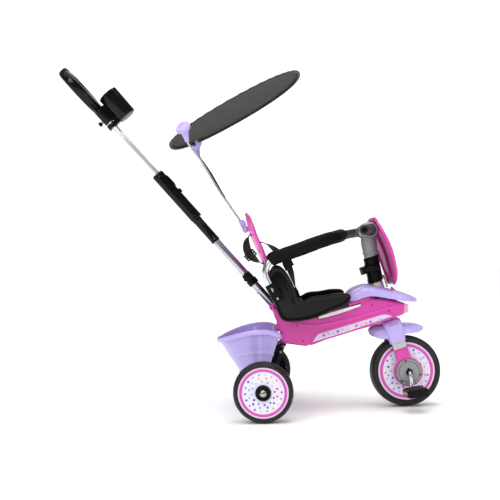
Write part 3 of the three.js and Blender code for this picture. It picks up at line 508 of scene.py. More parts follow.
pink = material("pink_plastic", (0.62, 0.040, 0.34), 0.3, coat=0.2, spread=0.04)
bright_pink = material("bright_pink_plastic", (0.74, 0.085, 0.44), 0.3, coat=0.2, spread=0.04)
pale_pink = material("pale_pink_plastic", (0.80, 0.32, 0.52), 0.3, coat=0.2, speckle=(0.9, 0.65, 0.75),
    speckle_scale=420)
lilac = material("lilac_plastic", (0.47, 0.38, 0.77), 0.28, coat=0.25, spread=0.04)
black = material("black_plastic", (0.003, 0.003, 0.0035), 0.12, specular=0.22, spread=0.15)
satin_black = material("satin_black_plastic", (0.004, 0.004, 0.0045), 0.26, specular=0.1, spread=0.15,
    depth=0.04)
rubber = material("tyre_rubber", (0.014, 0.013, 0.014), 0.4, specular=0.3, spread=0.15, grain=1400, depth=0.1)
foam_cloth = material(
    "foam_cover", (0.004, 0.004, 0.004), 0.55, sheen=0.0, specular=0.08, spread=0.2, weave=0.55,
    weave_depth=0.3, depth=0.15,
)
canopy_cloth = material(
    "canopy_fabric", (0.036, 0.036, 0.033), 0.8, sheen=0.03, specular=0.15, spread=0.05, weave=0.5,
    weave_depth=0.1,
    rotate=CANOPY_TILT,
)
# The hem is the canopy's own cloth, given a lighter colour than the sheet to offset the shade on its rounded
# underside: painted light.
hem_cloth_painted_light = material(
    "canopy_hem_painted_light", (0.056, 0.056, 0.052), 0.75, sheen=0.04, specular=0.2, spread=0.06, weave=0.5,
    weave_depth=0.2,
)
webbing = material("webbing", (0.005, 0.005, 0.005), 0.5, sheen=0.05, specular=0.2, spread=0.2, weave=0.9,
    weave_depth=0.6)
thread = material("thread", (0.018, 0.018, 0.02), 0.6, sheen=0.05, specular=0.2, spread=0.2, grain=2500,
    depth=0.3)
grey = material(
    "grey_plastic", (0.25, 0.255, 0.26), 0.34, coat=0.1, spread=0.06, speckle=(0.32, 0.32, 0.33),
    speckle_scale=900,
    depth=0.06,
)
pale_grey = material("pale_grey_plastic", (0.52, 0.52, 0.54), 0.3, metal=0.5, spread=0.05)
grip_rubber = material("dark_grip", (0.030, 0.030, 0.032), 0.45, specular=0.3, spread=0.1, grain=1600,
    depth=0.2)
steel = material("steel", (0.66, 0.67, 0.70), 0.2, metal=1.0, spread=0.02, rough_spread=0.03, grain=400,
    depth=0.01)
# The upper tube is chrome. Its pale base, only partly metal, stands in for the white studio it mirrors: a
# painted reflection.
tube_steel_painted_reflection = material("tube_steel_painted_reflection", (0.88, 0.88, 0.90), 0.22, metal=0.72, spread=0.01, grain=60,
    depth=0.002)
wire_steel = material("wire_steel", (0.48, 0.50, 0.54), 0.22, metal=1.0, spread=0.03, grain=400, depth=0.01)
# The rear caps are chrome. Their darker, warm base colour stands in for what the domes mirror: a painted
# reflection.
cap_chrome_painted_reflection = material("cap_chrome_painted_reflection", (0.42, 0.39, 0.34), 0.16, metal=1.0, spread=0.04, rough_spread=0.04)
brass = material("zinc_screw", (0.50, 0.49, 0.46), 0.28, metal=1.0, spread=0.1, rough_spread=0.08)
disc_white = material("decal_white", (0.72, 0.71, 0.85), 0.3, coat=0.1, spread=0.03)
disc_pink = material(
    "decal_pink", (0.55, 0.065, 0.42), 0.3, coat=0.1, speckle=(0.75, 0.30, 0.62), speckle_scale=330,
    speckle_size=0.2,
)
disc_lip = material("decal_pale_pink", (0.80, 0.58, 0.76), 0.3, coat=0.1, spread=0.03)
# Painted backdrop light: white where the lit backdrop shows through the slot between seat and body.
painted_backdrop_white = material("painted_backdrop_white", (0.92, 0.92, 0.92), 0.35, spread=0.01)
strip_base = material("decal_lavender", (0.66, 0.50, 0.74), 0.3, coat=0.2, spread=0.05)
# Painted shade: the dark band round the decal stands for the shade in the recess it sits in.
decal_recess_shade = material("decal_recess_painted_shade", (0.22, 0.02, 0.12), 0.4, spread=0.1)
PRINT = {
    "rose": (0.50, 0.05, 0.28), "violet": (0.20, 0.09, 0.38), "navy": (0.04, 0.06, 0.28),
    "peach": (0.66, 0.34, 0.14),
    "mint": (0.42, 0.62, 0.54), "blush": (0.78, 0.44, 0.58), "sky": (0.30, 0.34, 0.66),
    "lemon": (0.82, 0.72, 0.16),
    "green": (0.28, 0.58, 0.20), "cyan": (0.12, 0.55, 0.70),
}
prints = {key: material("print_" + key, colour, 0.35, spread=0.04) for key, colour in PRINT.items()}

# ---- Camera, floor and light ---------------------------------------------------------------------

CAMERA_AT = Vector((0.0695, -2.4779, 0.4627))
CAMERA_LENS = 62.19
CAMERA_YAW = math.radians(1.62)
CAMERA_PITCH = math.radians(0.23)
CAMERA_ROLL = math.radians(1.23)

camera_data = bpy.data.cameras.new("camera")
camera_data.lens = CAMERA_LENS
camera_data.sensor_width = 36
camera = bpy.data.objects.new("camera", camera_data)
bpy.context.scene.collection.objects.link(camera)
ahead = Vector((
    -math.sin(CAMERA_YAW) * math.cos(CAMERA_PITCH), math.cos(CAMERA_YAW) * math.cos(CAMERA_PITCH),
    -math.sin(CAMERA_PITCH),
))
level_right = Vector((math.cos(CAMERA_YAW), math.sin(CAMERA_YAW), 0))
level_up = level_right.cross(ahead)
right = level_right * math.cos(CAMERA_ROLL) - level_up * math.sin(CAMERA_ROLL)
above = level_right * math.sin(CAMERA_ROLL) + level_up * math.cos(CAMERA_ROLL)
camera.matrix_world = Matrix.Translation(CAMERA_AT) @ Matrix((right, above, -ahead)).transposed().to_4x4()
bpy.context.scene.camera = camera

floor_material = material("floor", (0.95, 0.95, 0.95), 0.7, specular=0.0, spread=0.003, grain=60, depth=0.0)
FLOOR_HALF = 14000
floor_mesh = mesh_of("floor", [block((-FLOOR_HALF, -FLOOR_HALF, -30), (FLOOR_HALF, FLOOR_HALF, -0.4))],
    CHASSIS)
floor_mesh.materials.append(floor_material)
floor = bpy.data.objects.new("floor", floor_mesh)
bpy.context.scene.collection.objects.link(floor)

world = bpy.data.worlds.new("studio")
world.use_nodes = True
bpy.context.scene.world = world
sky = world.node_tree
background = sky.nodes["Background"]
background.inputs["Color"].default_value = (1, 1, 1, 1)
background.inputs["Strength"].default_value = 0.66
# The backdrop is white to the eye, and darker where glossy surfaces mirror it.
surface = background.outputs[0]
rays = node_of(sky, "LightPath")
for ray, strength in (("Is Glossy Ray", 0.2), ("Is Camera Ray", 1.3)):
    seen = node_of(sky, "Background", Color=(1, 1, 1, 1), Strength=strength)
    choose = node_of(sky, "MixShader")
    sky.links.new(rays.outputs[ray], choose.inputs[0])
    sky.links.new(surface, choose.inputs[1])
    sky.links.new(seen.outputs[0], choose.inputs[2])
    surface = choose.outputs[0]
sky.links.new(surface, sky.nodes["World Output"].inputs["Surface"])
bpy.context.scene.view_settings.view_transform = "Standard"

AIM = Vector((0, 0, 0.4))


def soft_box(name, at, width, height, watts):
    data = bpy.data.lights.new(name, "AREA")
    data.shape = "RECTANGLE"
    data.size, data.size_y, data.energy = width, height, watts
    light = bpy.data.objects.new(name, data)
    bpy.context.scene.collection.objects.link(light)
    light.location = at
    light.rotation_euler = (AIM - Vector(at)).to_track_quat("-Z", "Y").to_euler()


soft_box("top_light", (0.1, 0.1, 3.0), 2.0, 1.2, 30)
soft_box("key_light", (-1.5, -2.9, 2.2), 1.2, 1.2, 26)
soft_box("fill_light", (2.5, -2.2, 1.3), 0.7, 1.5, 10)
soft_box("back_light", (0.4, 3.0, 2.2), 2.4, 1.0, 14)

daylight_data = bpy.data.lights.new("daylight", "SUN")
daylight_data.energy = 1.3
daylight_data.angle = math.radians(70)
daylight = bpy.data.objects.new("daylight", daylight_data)
bpy.context.scene.collection.objects.link(daylight)
daylight.rotation_euler = (AIM - Vector((-0.5, -0.8, 3))).to_track_quat("-Z", "Y").to_euler()

# ---- Wheels --------------------------------------------------------------------------------------


def tyre_profile(radius, seat, width):
    half = [
        (seat, 1.6), (seat + 1.4, 0.5), (radius - 9, 0), (radius - 7.6, 0.15), (radius - 7.2, 0.9),
        (radius - 6.4, 1.0),
        (radius - 6.0, 0.9), (radius - 4.2, 2.2), (radius - 2.6, 4.6), (radius - 1.3, 8),
        (radius - 0.6, 11.5),
    ]
    tread = []
    for share in (0.34, 0.5, 0.66):
        at = share * width
        crown = radius - 0.5 * abs(share - 0.5) / 0.16 * 0.5
        tread += [(crown, at - 1.4), (crown - 0.9, at - 0.8), (crown - 0.9, at + 0.8), (crown, at + 1.4)]
    return half + tread + [(r, width - s) for r, s in reversed(half)]


DOT_COLOURS = ("rose", "navy", "peach", "violet", "mint", "rose", "sky", "blush", "violet", "peach", "navy",
    "sky")
DOT_RADIUS = 2.9
DOT_PROUD = 0.22


def dots(centre, face, side, rings, step=7):
    """Small printed dots on a disc whose axis is Y. rings holds (radius, count, turn)."""
    shapes, number = [], 0
    for radius, count, offset in rings:
        for k in range(count):
            angle = 2 * math.pi * (k + offset) / count
            wobble = 0.7 * math.sin(5.1 * number)
            x = centre[0] + (radius + wobble) * math.cos(angle)
            z = centre[2] + (radius + wobble) * math.sin(angle)
            size = DOT_RADIUS * (1 + 0.12 * math.sin(3.7 * number))
            rows = [[(x + a, y, z + b) for a, b in circle(size, 14)] for y in (face, face + side * DOT_PROUD)]
            shapes.append(loft(rows, mark=(number * step) % len(DOT_COLOURS)))
            number += 1
    return shapes


DOT_MATERIALS = [prints[key] for key in DOT_COLOURS]
REAR_WIDTH = 48
REAR_INNER_Y = 187
REAR_HEIGHT = 80


def rear_wheel(name, side):
    body = "rear_wheel_" + name
    w = REAR_WIDTH
    start = vec(0, side * REAR_INNER_Y, REAR_HEIGHT)
    end = vec(0, side * (REAR_INNER_Y + w), REAR_HEIGHT)
    piece("tyre_rear_" + name, body, rubber,
        [turned(tyre_profile(80, 67.3, w), start, end, 112)],
          replaces=["rear_tyre_" + name])
    face = w - 4.2
    profile = [
        (20.8, face - 0.5), (23, face), (55, face), (55.3, face + 0.2), (62.6, face + 0.2), (63, face + 0.7),
        (65.8, face + 0.9), (66.8, face + 0.4), (67, face - 0.6), (67, 5), (62.5, 5), (61.5, 7),
        (61, w - 9), (20.8, w - 9),
    ]
    marks = [1, 1, 1, 2, 3, 3, 3, 0, 0, 0, 0, 0, 0, 0]
    disc = turned(profile, start, end, 112, marks)
    ribs = []
    for k in range(10):
        angle = 2 * math.pi * k / 10
        radial = vec(math.cos(angle), 0, math.sin(angle))
        inner, outer = start + radial * 20.5, start + radial * 61.5
        depth = vec(0, side, 0)
        path = [inner + depth * 24, outer + depth * 24]
        ribs.append(sweep(path, rounded(2.4, 30, 1, 2), up=(0, 1, 0)))
    barrel = pipe(start + vec(0, side * 6, 0), start + vec(0, side * (w - 9), 0), 23.5, 20.6, 48)
    piece("rim_rear_" + name, body, [satin_black, disc_white, disc_pink, disc_lip],
          [disc, barrel, *ribs], replaces=["rear_rim_" + name], smooth=28)
    wheel_dots = dots(start, start[1] + side * face, side, [(30.5, 12, 0.2), (38.5, 12, 0.55), (48, 18, 0.1)])
    piece("dots_rear_" + name, body, DOT_MATERIALS, wheel_dots)
    hub = [
        (5.3, 2), (19.5, 2), (20.5, 3), (20.5, w), (19.9, w + 1.8), (18.2, w + 2.9), (16, w + 3.1),
        (14.6, w + 2.4),
        (13, w + 2.2), (12, w + 3.4), (5.3, w + 3.6),
    ]
    piece("hub_rear_" + name, body, satin_black, [turned(hub, start, end, 72)],
          replaces=["rear_hub_" + name], smooth=50)
    cap = [(0, w + 3.9), (10, w + 3.9), (10, w + 5), (9.3, w + 7.2), (7.9, w + 9.2), (5.7, w + 10.8),
        (3, w + 11.7), (0, w + 12)]
    # The cap's dark warm colour is a painted reflection on chrome.
    piece("cap_rear_" + name, body, cap_chrome_painted_reflection, [turned(cap, start, end, 48)],
          replaces=["rear_cap_" + name], smooth=60)


for wheel_name, wheel_side in SIDES:
    rear_wheel(wheel_name, wheel_side)

FRONT_HALF = 25
front_start, front_end = vec(0, -FRONT_HALF, 0), vec(0, FRONT_HALF, 0)
piece("tyre_front", "front_wheel", rubber,
    [turned(tyre_profile(100, 81.8, 50), front_start, front_end, 128)],
      where=STEERING, replaces=["front_tyre"])
FACE = 46.4
front_face = [
    (5.3, FACE), (67.6, FACE), (67.9, FACE + 0.2), (76.2, FACE + 0.2), (76.6, FACE + 0.7), (80.2, FACE + 0.9),
    (81.2, FACE + 0.3), (81.5, FACE - 1),
]
front_profile = front_face + [(r, 50 - s) for r, s in reversed(front_face)]
front_marks = [1, 1, 2, 3, 3, 3, 0, 0, 0, 3, 3, 3, 2, 1, 1, 0]
piece("rim_front", "front_wheel", [satin_black, disc_white, disc_pink, disc_lip],
      [turned(front_profile, front_start, front_end, 128, front_marks)], where=STEERING,
      replaces=["front_rim"], smooth=28)
front_dots = []
for _, s in SIDES:
    front_dots += dots(vec(0, 0, 0), s * (FACE - FRONT_HALF), s,
        [(45, 14, 0.3), (53, 14, 0.8), (61.5, 22, 0.2)])
piece("dots_front", "front_wheel", DOT_MATERIALS, front_dots, where=STEERING)

# ---- Crank, pedals and the front hub -------------------------------------------------------------

CRANK_LENGTH = 48
crank_arm = in_chassis(middle("pedal_right")) - in_chassis(middle("pedal_left"))
crank_angle = math.atan2(crank_arm @ np.array(steer_up), crank_arm @ np.array(steer_forward))


def on_crank(reach, y):
    return vec(reach * math.cos(crank_angle), y, reach * math.sin(crank_angle))


crank_corners = [
    (CRANK_LENGTH, -131), (CRANK_LENGTH, -74), (CRANK_LENGTH - 2, -68.5), (CRANK_LENGTH - 7, -66), (8, -65),
    (2, -63), (0, -58),
    (0, 58), (-2, 63), (-8, 65), (7 - CRANK_LENGTH, 66), (2 - CRANK_LENGTH, 68.5), (-CRANK_LENGTH, 74),
    (-CRANK_LENGTH, 131),
]
crank_up = np.cross(on_crank(1, 0), vec(0, 1, 0))
crank_path = nosed(spline([on_crank(r, y) for r, y in crank_corners], 110), 1.5, 3)
piece("crank_rod", "crank", steel,
    [sweep(crank_path, circle(5, 20), up=crank_up, nose=1.5, blunt=0.7)],
      where=STEERING, replaces=["crank"], smooth=60)

PEDAL = (58, 60, 22)
for name, side in SIDES:
    centre = on_crank(-side * CRANK_LENGTH, side * 105)
    length, width, height = PEDAL
    tilt = vec(0.14, 0, 1)
    row = [centre + vec(0, share * width, 0) for share in (-0.5, -0.47, 0.47, 0.5)]
    core = sweep(row, rounded(length - 2, height - 2.6, 6, 4), up=tilt)
    flat = unit(np.cross(vec(0, 1, 0), tilt))
    ribs = []
    for k in range(9):
        at = (k - 4) * 6.4
        rib = [p + flat * at for p in (row[0], row[3])]
        ribs.append(sweep(rib, rounded(3.2, height - (3 if abs(k - 4) == 4 else 0), 1, 2), up=tilt))
    ends = [sweep([centre + vec(0, s * (width / 2 - 3), 0), centre + vec(0, s * width / 2, 0)],
                  rounded(length, height - 1, 7, 4), up=tilt) for s in (-1, 1)]
    hole = rod(centre + vec(0, -side * 40, 0), centre + vec(0, side * 27, 0), 5.3)
    moulded("pedal_block_" + name, "pedal_" + name, satin_black, 0.8, 3,
            shapes=[core, *ribs, *ends], where=STEERING, replaces=["pedal_" + name], cuts=[hole])
    reflector = [centre + flat * (length / 2 - 0.6) * s + vec(0, -18, 0) for s in (-1, 1)]
    piece("pedal_reflector_" + name, "pedal_" + name, [prints["peach"]],
          [sweep([p, p + vec(0, 36, 0)], rounded(2.2, 7, 0.9, 2), up=tilt) for p in reflector],
          where=STEERING)


def screw(at, out, radius=3.2, tall=1.6, mark=0):
    """A round screw head with a recess, standing on at and facing out."""
    at, out = np.array(at, float), unit(np.array(out, float))
    profile = [
        (0, 0.3), (radius * 0.38, 0.3), (radius * 0.44, tall), (radius * 0.8, tall * 0.85),
        (radius, tall * 0.4),
        (radius, -0.4), (0, -0.4),
    ]
    points, faces, index = turned(profile, at, at + out, 20)
    return points, faces, [mark] * len(index)


HUB_FACE_Y = 45.3
for name, side in SIDES:
    foot = vec(0, side * HUB_FACE_Y, 0)
    out = vec(0, side, 0)
    cover = [
        (9.5, 0), (36.2, 0), (36.5, 0.6), (36.5, 5.6), (35.9, 7), (34.6, 7.7), (31.2, 7.9), (30.4, 7.4),
        (30, 6.2),
        (28.9, 6.2), (28.5, 7.6), (27.6, 8.9), (26, 9.3), (10, 9.5), (9.5, 9.2),
    ]
    bush = [(5.4, 5), (9.4, 5), (9.4, 9.9), (8.6, 10.6), (6, 10.6), (5.4, 10)]
    angles = [math.radians(90 + 120 * k) for k in range(3)]
    screws = [screw(foot + vec(33 * math.cos(a), side * 7.4, 33 * math.sin(a)), out, 2.9, 1.3, mark=1)
        for a in angles]
    keyway = sweep([foot + vec(0, side * 9.2, 6), foot + vec(0, side * 9.2, 13)], rounded(5, 1.6, 0.7, 2),
        up=out, mark=1)
    shapes = [turned(cover, foot, foot + out, 96), marked(turned(bush, foot, foot + out, 40), 1), *screws,
        keyway]
    piece("hub_plate_" + name, "steering", [grey, satin_black], shapes, where=STEERING,
          replaces=["hub_cover_" + name], smooth=32)
    ledge = [(36.8, -1), (40.2, -1), (40.4, 1.2), (39.4, 2.2), (37.6, 2.2), (36.8, 1.2)]
    panel = sweep([vec(0, side * 44.8, 41), vec(0, side * 44.8, 63)], rounded(27, 2.4, 1, 2), up=out)
    moulded("fork_blade_" + name, "steering", pink, 1.0, 4, nodes=["fork_leg_" + name],
            shapes=[turned(ledge, foot, foot + out, 96), panel], where=STEERING)

# ---- Fork ----------------------------------------------------------------------------------------

moulded("fork_steel", "steering", pale_grey, 1.1, 3, nodes=["fork_stem"])

crown_rows = []
CROWN_STATIONS = [(87, -23, 23, 46), (110, -24, 25, 46), (130, -25, 27, 46), (142, -26, 27, 44),
    (149, -25, 26, 40), (152.5, -23, 23, 34)]
for w, u0, u1, half in CROWN_STATIONS:
    crown_rows.append([((u0 + u1) / 2 + a, b, w) for a, b in rounded(u1 - u0, half * 2, 9, 5)])
side_panels = [sweep([vec(1, s * 45.6, 91), vec(1, s * 45.6, 138)], rounded(27, 3.4, 1.4, 3), up=(0, s, 0))
    for _, s in SIDES]
wheel_room = rod((0, -31, 0), (0, 31, 0), 104.5, 96)
stem_room = rod((0, 0, 60), (0, 0, 160), 15.6, 40)
moulded("crown_block", "steering", lilac, 1.1, 5, shapes=[loft(crown_rows), *side_panels],
    where=STEERING,
        replaces=["fork_crown"], cuts=[wheel_room, stem_room])

guard_stations = [
    (-62, 139, 136, 9), (-56, 145, 122, 25), (-40, 147, 109, 36), (-18, 143, 106, 38), (12, 134, 104, 38),
    (40, 127, 99, 34),
    (64, 118, 94, 25), (80, 107, 95, 14), (86, 102, 97.5, 7),
]
ARC = [math.radians(a) for a in np.linspace(-90, 90, 25)]


def arched(along, crest, hem, half, squareness):
    """One arch of a thin hood: its points run from one side's lower edge over the crest to the other's."""
    out = []
    for a in ARC:
        across = math.copysign(abs(math.sin(a)) ** squareness, a)
        rise = abs(math.cos(a)) ** squareness
        out.append((along, half * across, hem + (crest - hem) * rise))
    return out


guard_rows = [arched(*station, 0.75) for station in spline(guard_stations, 40)]
guard_wheel = rod((0, -31, 0), (0, 31, 0), 103.5, 96)
piece("mudguard", "steering", lilac, [shell(guard_rows, 2.6)], where=STEERING, smooth=50,
    cuts=[guard_wheel])

# ---- Body ----------------------------------------------------------------------------------------

BODY_SIDE_Y = 66
# The decal's outline, from its rear tip round the top to its front tip.
strip_outline = [
    (137, 191), (150, 210), (155, 214.5), (200, 227), (260, 244), (330, 264.5), (341, 266), (350, 264.5),
    (362, 260),
    (330, 250.5), (270, 231), (226, 217), (180, 204),
]


def rim_of(outline, side, radius, proud):
    ring = [vec(x, side * (BODY_SIDE_Y + proud), z) for x, z in outline]
    return sweep(spline(ring, 120, ring=True), circle(radius, 8), up=(0, 1, 0), ring=True)


def grown(outline, amount):
    """The outline with every edge moved out by amount."""
    p = np.array(outline, float)
    ahead_edge = np.roll(p, -1, 0) - p
    ahead_edge /= np.linalg.norm(ahead_edge, axis=1, keepdims=True)
    back_edge = np.roll(ahead_edge, 1, 0)
    area = float(np.sum(p[:, 0] * np.roll(p[:, 1], -1) - np.roll(p[:, 0], -1) * p[:, 1]))
    turn_sign = 1 if area > 0 else -1
    normals = np.array([[e[1], -e[0]] for e in ahead_edge]) * turn_sign
    back_normals = np.array([[e[1], -e[0]] for e in back_edge]) * turn_sign
    blend = normals + back_normals
    blend /= np.maximum(1e-6, np.sum(blend * normals, axis=1, keepdims=True))
    return [tuple(q) for q in p + blend * amount]


bridge_outline = [
    (150, 262), (157, 265), (238, 288.4), (272, 298.2), (284, 301), (292, 306), (302, 313), (298, 320),
    (262, 315), (247, 307),
    (237, 292.3), (152, 268.4),
]
body_details = [plate(bridge_outline, -BODY_SIDE_Y, BODY_SIDE_Y)]
for _, side in SIDES:
    body_details.append(rim_of(grown(strip_outline, 3.2), side, 1.7, -0.6))
    ledge = [vec(84, side * 65.4, 246), vec(150, side * 65.4, 240), vec(262, side * 65.4, 262),
        vec(372, side * 65.4, 291)]
    body_details.append(sweep(nosed(spline(ledge, 40), 3), circle(1.8, 8), nose=3, blunt=0.3))
moulded("body", "frame", pink, 1.9, 6, nodes=["body_frame"], shapes=body_details)
moulded("nose_cap", "frame", pale_pink, 1.0, 4, nodes=["front_cap"])

# A white strip painted where the lit backdrop shows through the slot between seat and body, on both sides.
gap_outline = [(157.5, 257.6), (154.5, 259.5), (157, 262.4), (268, 294.4), (273.4, 295.4), (275, 293.4),
    (272, 290.4)]
for name, side in SIDES:
    gap_ring = [tuple(p) for p in spline([np.array(q, float) for q in gap_outline], 60, ring=True)]
    piece("seat_line_" + name, "frame", painted_backdrop_white,
        [plate(gap_ring, side * (BODY_SIDE_Y - 4), side * (BODY_SIDE_Y + 0.5))])

STAR = []
for k in range(10):
    reach, angle = 1 if k % 2 == 0 else 0.48, math.radians(36 * k + 90)
    STAR.append((math.cos(angle) * reach, math.sin(angle) * reach))
ROUND = circle(1, 20)
STRIP_COUNT, STRIP_FIRST, STRIP_STEP = 14, 0.07, 0.062
STRIP_CYCLE = ("lemon", "rose", "sky", "peach", "violet", "green", "cyan")
# A plain pattern of separate stars and dots. Each has an outline, a place along the strip,
# a height off its middle line, a size and a colour.
strip_art = []
for k in range(STRIP_COUNT):
    outline, lift, size = [(ROUND, -2.2, 2.4), (STAR, 0.3, 5.6), (ROUND, 2.0, 3.4)][k % 3]
    strip_art.append((outline, STRIP_FIRST + STRIP_STEP * k, lift, size, STRIP_CYCLE[k % len(STRIP_CYCLE)]))
strip_from, strip_to = vec(142, 203.5), vec(353, 257.5)
strip_run = strip_to - strip_from
strip_slope = math.atan2(strip_run[1], strip_run[0])
ART_COLOURS = sorted({art[4] for art in strip_art})
for name, side in SIDES:
    y0, y1 = side * (BODY_SIDE_Y - 0.6), side * (BODY_SIDE_Y + 0.45)
    # The grown plate under the decal shows as a dark band round it: painted recess shade.
    shapes = [
        plate(grown(strip_outline, 1.3), y0, y1 - side * 0.2, 1), plate(strip_outline, y0, y1, 0),
    ]
    for outline, share, lift, size, colour in strip_art:
        centre = strip_from + strip_run * share + vec(-math.sin(strip_slope), math.cos(strip_slope)) * lift
        rotation = strip_slope if outline is not STAR else strip_slope + 0.3 * side
        c, s = math.cos(rotation) * size, math.sin(rotation) * size
        points = [(centre[0] + a * c - b * s, centre[1] + a * s + b * c) for a, b in outline]
        shapes.append(plate(points, y1 - side * 0.1, y1 + side * 0.15, 2 + ART_COLOURS.index(colour)))
    piece("side_decal_" + name, "frame",
        [strip_base, decal_recess_shade, *(prints[k] for k in ART_COLOURS)], shapes)
    places = [(304.5, 291.5), (96, 240), (112, 196), (352, 276)]
    screws = [screw((x, side * (BODY_SIDE_Y - 0.5), z), (0, side, 0), 2.6, 0.9) for x, z in places]
    piece("body_screws_" + name, "frame", satin_black, screws)

# ---- Fairing over the front of the body ----------------------------------------------------------

cover_stations = [
    (239, 308.5, 304, 60), (243, 317, 304.3, 68), (250, 326.5, 305.3, 74), (262, 334, 307.3, 78.5),
    (280, 340.5, 314, 80),
    (300, 343.5, 318, 80), (330, 337.5, 315, 80), (360, 329.5, 309, 78), (388, 321.5, 303, 72),
    (410, 313, 299, 57),
    (426, 306, 296, 36), (434, 300.5, 294.8, 18), (436, 298.5, 294.5, 8),
]
cover_rows = [arched(*station, 0.42) for station in spline(cover_stations, 64)]
for row in cover_rows:
    for i, (x, y, z) in enumerate(row):
        row[i] = (x, y, z + 2.2 * math.cos(y / 80 * math.pi / 2))


def on_steering(u, y, w):
    """A point of the steering frame with the handlebar straight, in the chassis's millimetres."""
    lean = math.atan2(-steer_up.x, steer_up.z)
    base = in_chassis(wheel_centre)
    return base + vec(u * math.cos(lean) - w * math.sin(lean), y, u * math.sin(lean) + w * math.cos(lean))


column_hole = rod(on_steering(0, 0, 180), on_steering(0, 0, 310), 22, 48)
fin_hole = block((362, -8.5, 280), (388, 8.5, 360))
piece("fairing", "frame", lilac, [shell(cover_rows, 3.0)], replaces=["top_cover"], smooth=45,
      cuts=[column_hole, fin_hole])
collar_rows = [(22.3, 0), (25.4, 0), (25.8, 1.2), (25, 2.6), (23.4, 2.8), (22.3, 2.2)]
collar_at = on_steering(0, 0, 232)
piece("fairing_collar", "frame", lilac,
    [turned(collar_rows, collar_at, on_steering(0, 0, 300), 64)])

# ---- Seat ----------------------------------------------------------------------------------------

SEAT_HALF = 118
seat_side_outline = [
    (57, 262), (88, 257.5), (118, 260.3), (148, 268), (187, 284), (214, 294.5), (232, 304), (241, 318),
    (237, 325),
    (206, 328), (171, 323), (133, 319), (112, 309), (100, 312), (88, 345), (72, 378), (52, 400), (36, 402),
    (24, 386), (30, 345), (38, 305),
]
seat_details = []
for _, side in SIDES:
    edge = [vec(x, side * (SEAT_HALF - 1.6), z) for x, z in seat_side_outline]
    seat_details.append(sweep(spline(edge, 120, ring=True), circle(3.3, 10), up=(0, 1, 0), ring=True))
    wing = [vec(44, side * SEAT_HALF, 386), vec(52, side * SEAT_HALF, 352), vec(64, side * SEAT_HALF, 318),
        vec(76, side * SEAT_HALF, 284)]
    width = lambda share: 0.55 + 0.45 * math.sin(math.pi * share)
    seat_details.append(sweep(nosed(spline(wing, 30), 12), rounded(38, 5, 2.2, 4), up=(0, side, 0), nose=12,
        blunt=0.25, size=width))
    thigh = [vec(146, side * 62, 276), vec(190, side * 62, 288), vec(232, side * 60, 299)]
    seat_details.append(sweep(nosed(spline(thigh, 24), 20), rounded(70, 9, 4, 4), nose=20, blunt=0.2))
horn = [vec(120, 0, 268), vec(164, 0, 281), vec(204, 0, 292), vec(233, 0, 300)]
seat_details.append(sweep(nosed(spline(horn, 24), 22), rounded(34, 17, 7, 4), nose=22, blunt=0.2))
moulded("seat_bucket", "frame", black, 2.0, 6, nodes=["seat_shell"], shapes=seat_details)
back_stations = [
    (404, 7, 78), (418, 1, 86), (432, -5, 92), (458, -15, 98), (493, -30, 96), (520, -37, 84),
    (540, -41.5, 64), (549, -42.8, 44),
    (553, -43, 26), (554, -43, 14),
]
BACK_BULGE = 12
back_rows = []
for z, rear, half in spline(back_stations, 44):
    reach = BACK_BULGE * (half / 98)
    back_rows.append([(rear + 4.5 + reach * s * s, half * s, z) for s in np.linspace(-1, 1, 33)])
edge_line = [row[0] for row in back_rows] + list(back_rows[-1][1:-1]) + [row[-1]
    for row in reversed(back_rows)]
edge_line += list(reversed(back_rows[0][1:-1]))
edge_path = spline([np.array(p) - vec(2.4, 0, 0) for p in edge_line[::3]], 170, ring=True)
back_bead = sweep(edge_path, rounded(10, 9, 4.2, 4), up=(1, 0, 0.4), ring=True)
tabs = [plate([(4, 409), (15, 409), (31, 362), (25, 360)], s * 30, s * 58) for _, s in SIDES]
panel_path = [vec(9 - 0.42 * (z - 404) + 2.4, 0, z) for z in np.linspace(432, 520, 16)]
panel = sweep(nosed(panel_path, 14), rounded(96, 6, 2.6, 4), up=(1, 0, 0.4), nose=14, blunt=0.5)
moulded("back_rest", "frame", bright_pink, 1.3, 4,
    shapes=[shell(back_rows, 5.2), back_bead, *tabs, panel],
        replaces=["seat_back"])
slots = []
for _, side in SIDES:
    for z in (474, 446):
        x = 7 - 0.42 * (z - 404) + 4.5 + BACK_BULGE * 0.26 + 0.6
        at = vec(x, side * 50, z)
        slots.append(sweep([at + vec(0, -17, 0), at + vec(0, 17, 0)], rounded(7, 2.2, 1, 3), up=(1, 0, 0.42)))
piece("harness_slots", "frame", satin_black, slots)

# ---- Harness -------------------------------------------------------------------------------------

STRAP = rounded(25, 2, 0.95, 3)


def twisted(path, section, up, most, mark=0, start=0.12, end=0.9):
    """A flat strap that turns on itself by most degrees on the way and lies flat at both ends."""
    path = np.array(path, float)
    rows = []
    for i, p in enumerate(path):
        share = i / (len(path) - 1)
        inside = min(1, max(0, (share - start) / (end - start)))
        angle = math.radians(most) * math.sin(math.pi * inside) ** 0.8
        along = unit(path[min(i + 1, len(path) - 1)] - path[max(i - 1, 0)])
        side = unit(np.cross(along, up))
        top = np.cross(side, along)
        across = side * math.cos(angle) + top * math.sin(angle)
        outward = top * math.cos(angle) - side * math.sin(angle)
        rows.append([p + across * a + outward * b for a, b in section])
    return loft(rows, mark=mark)


def shifted(section, across, lift=0.0):
    return [(a + across, b + lift) for a, b in section]


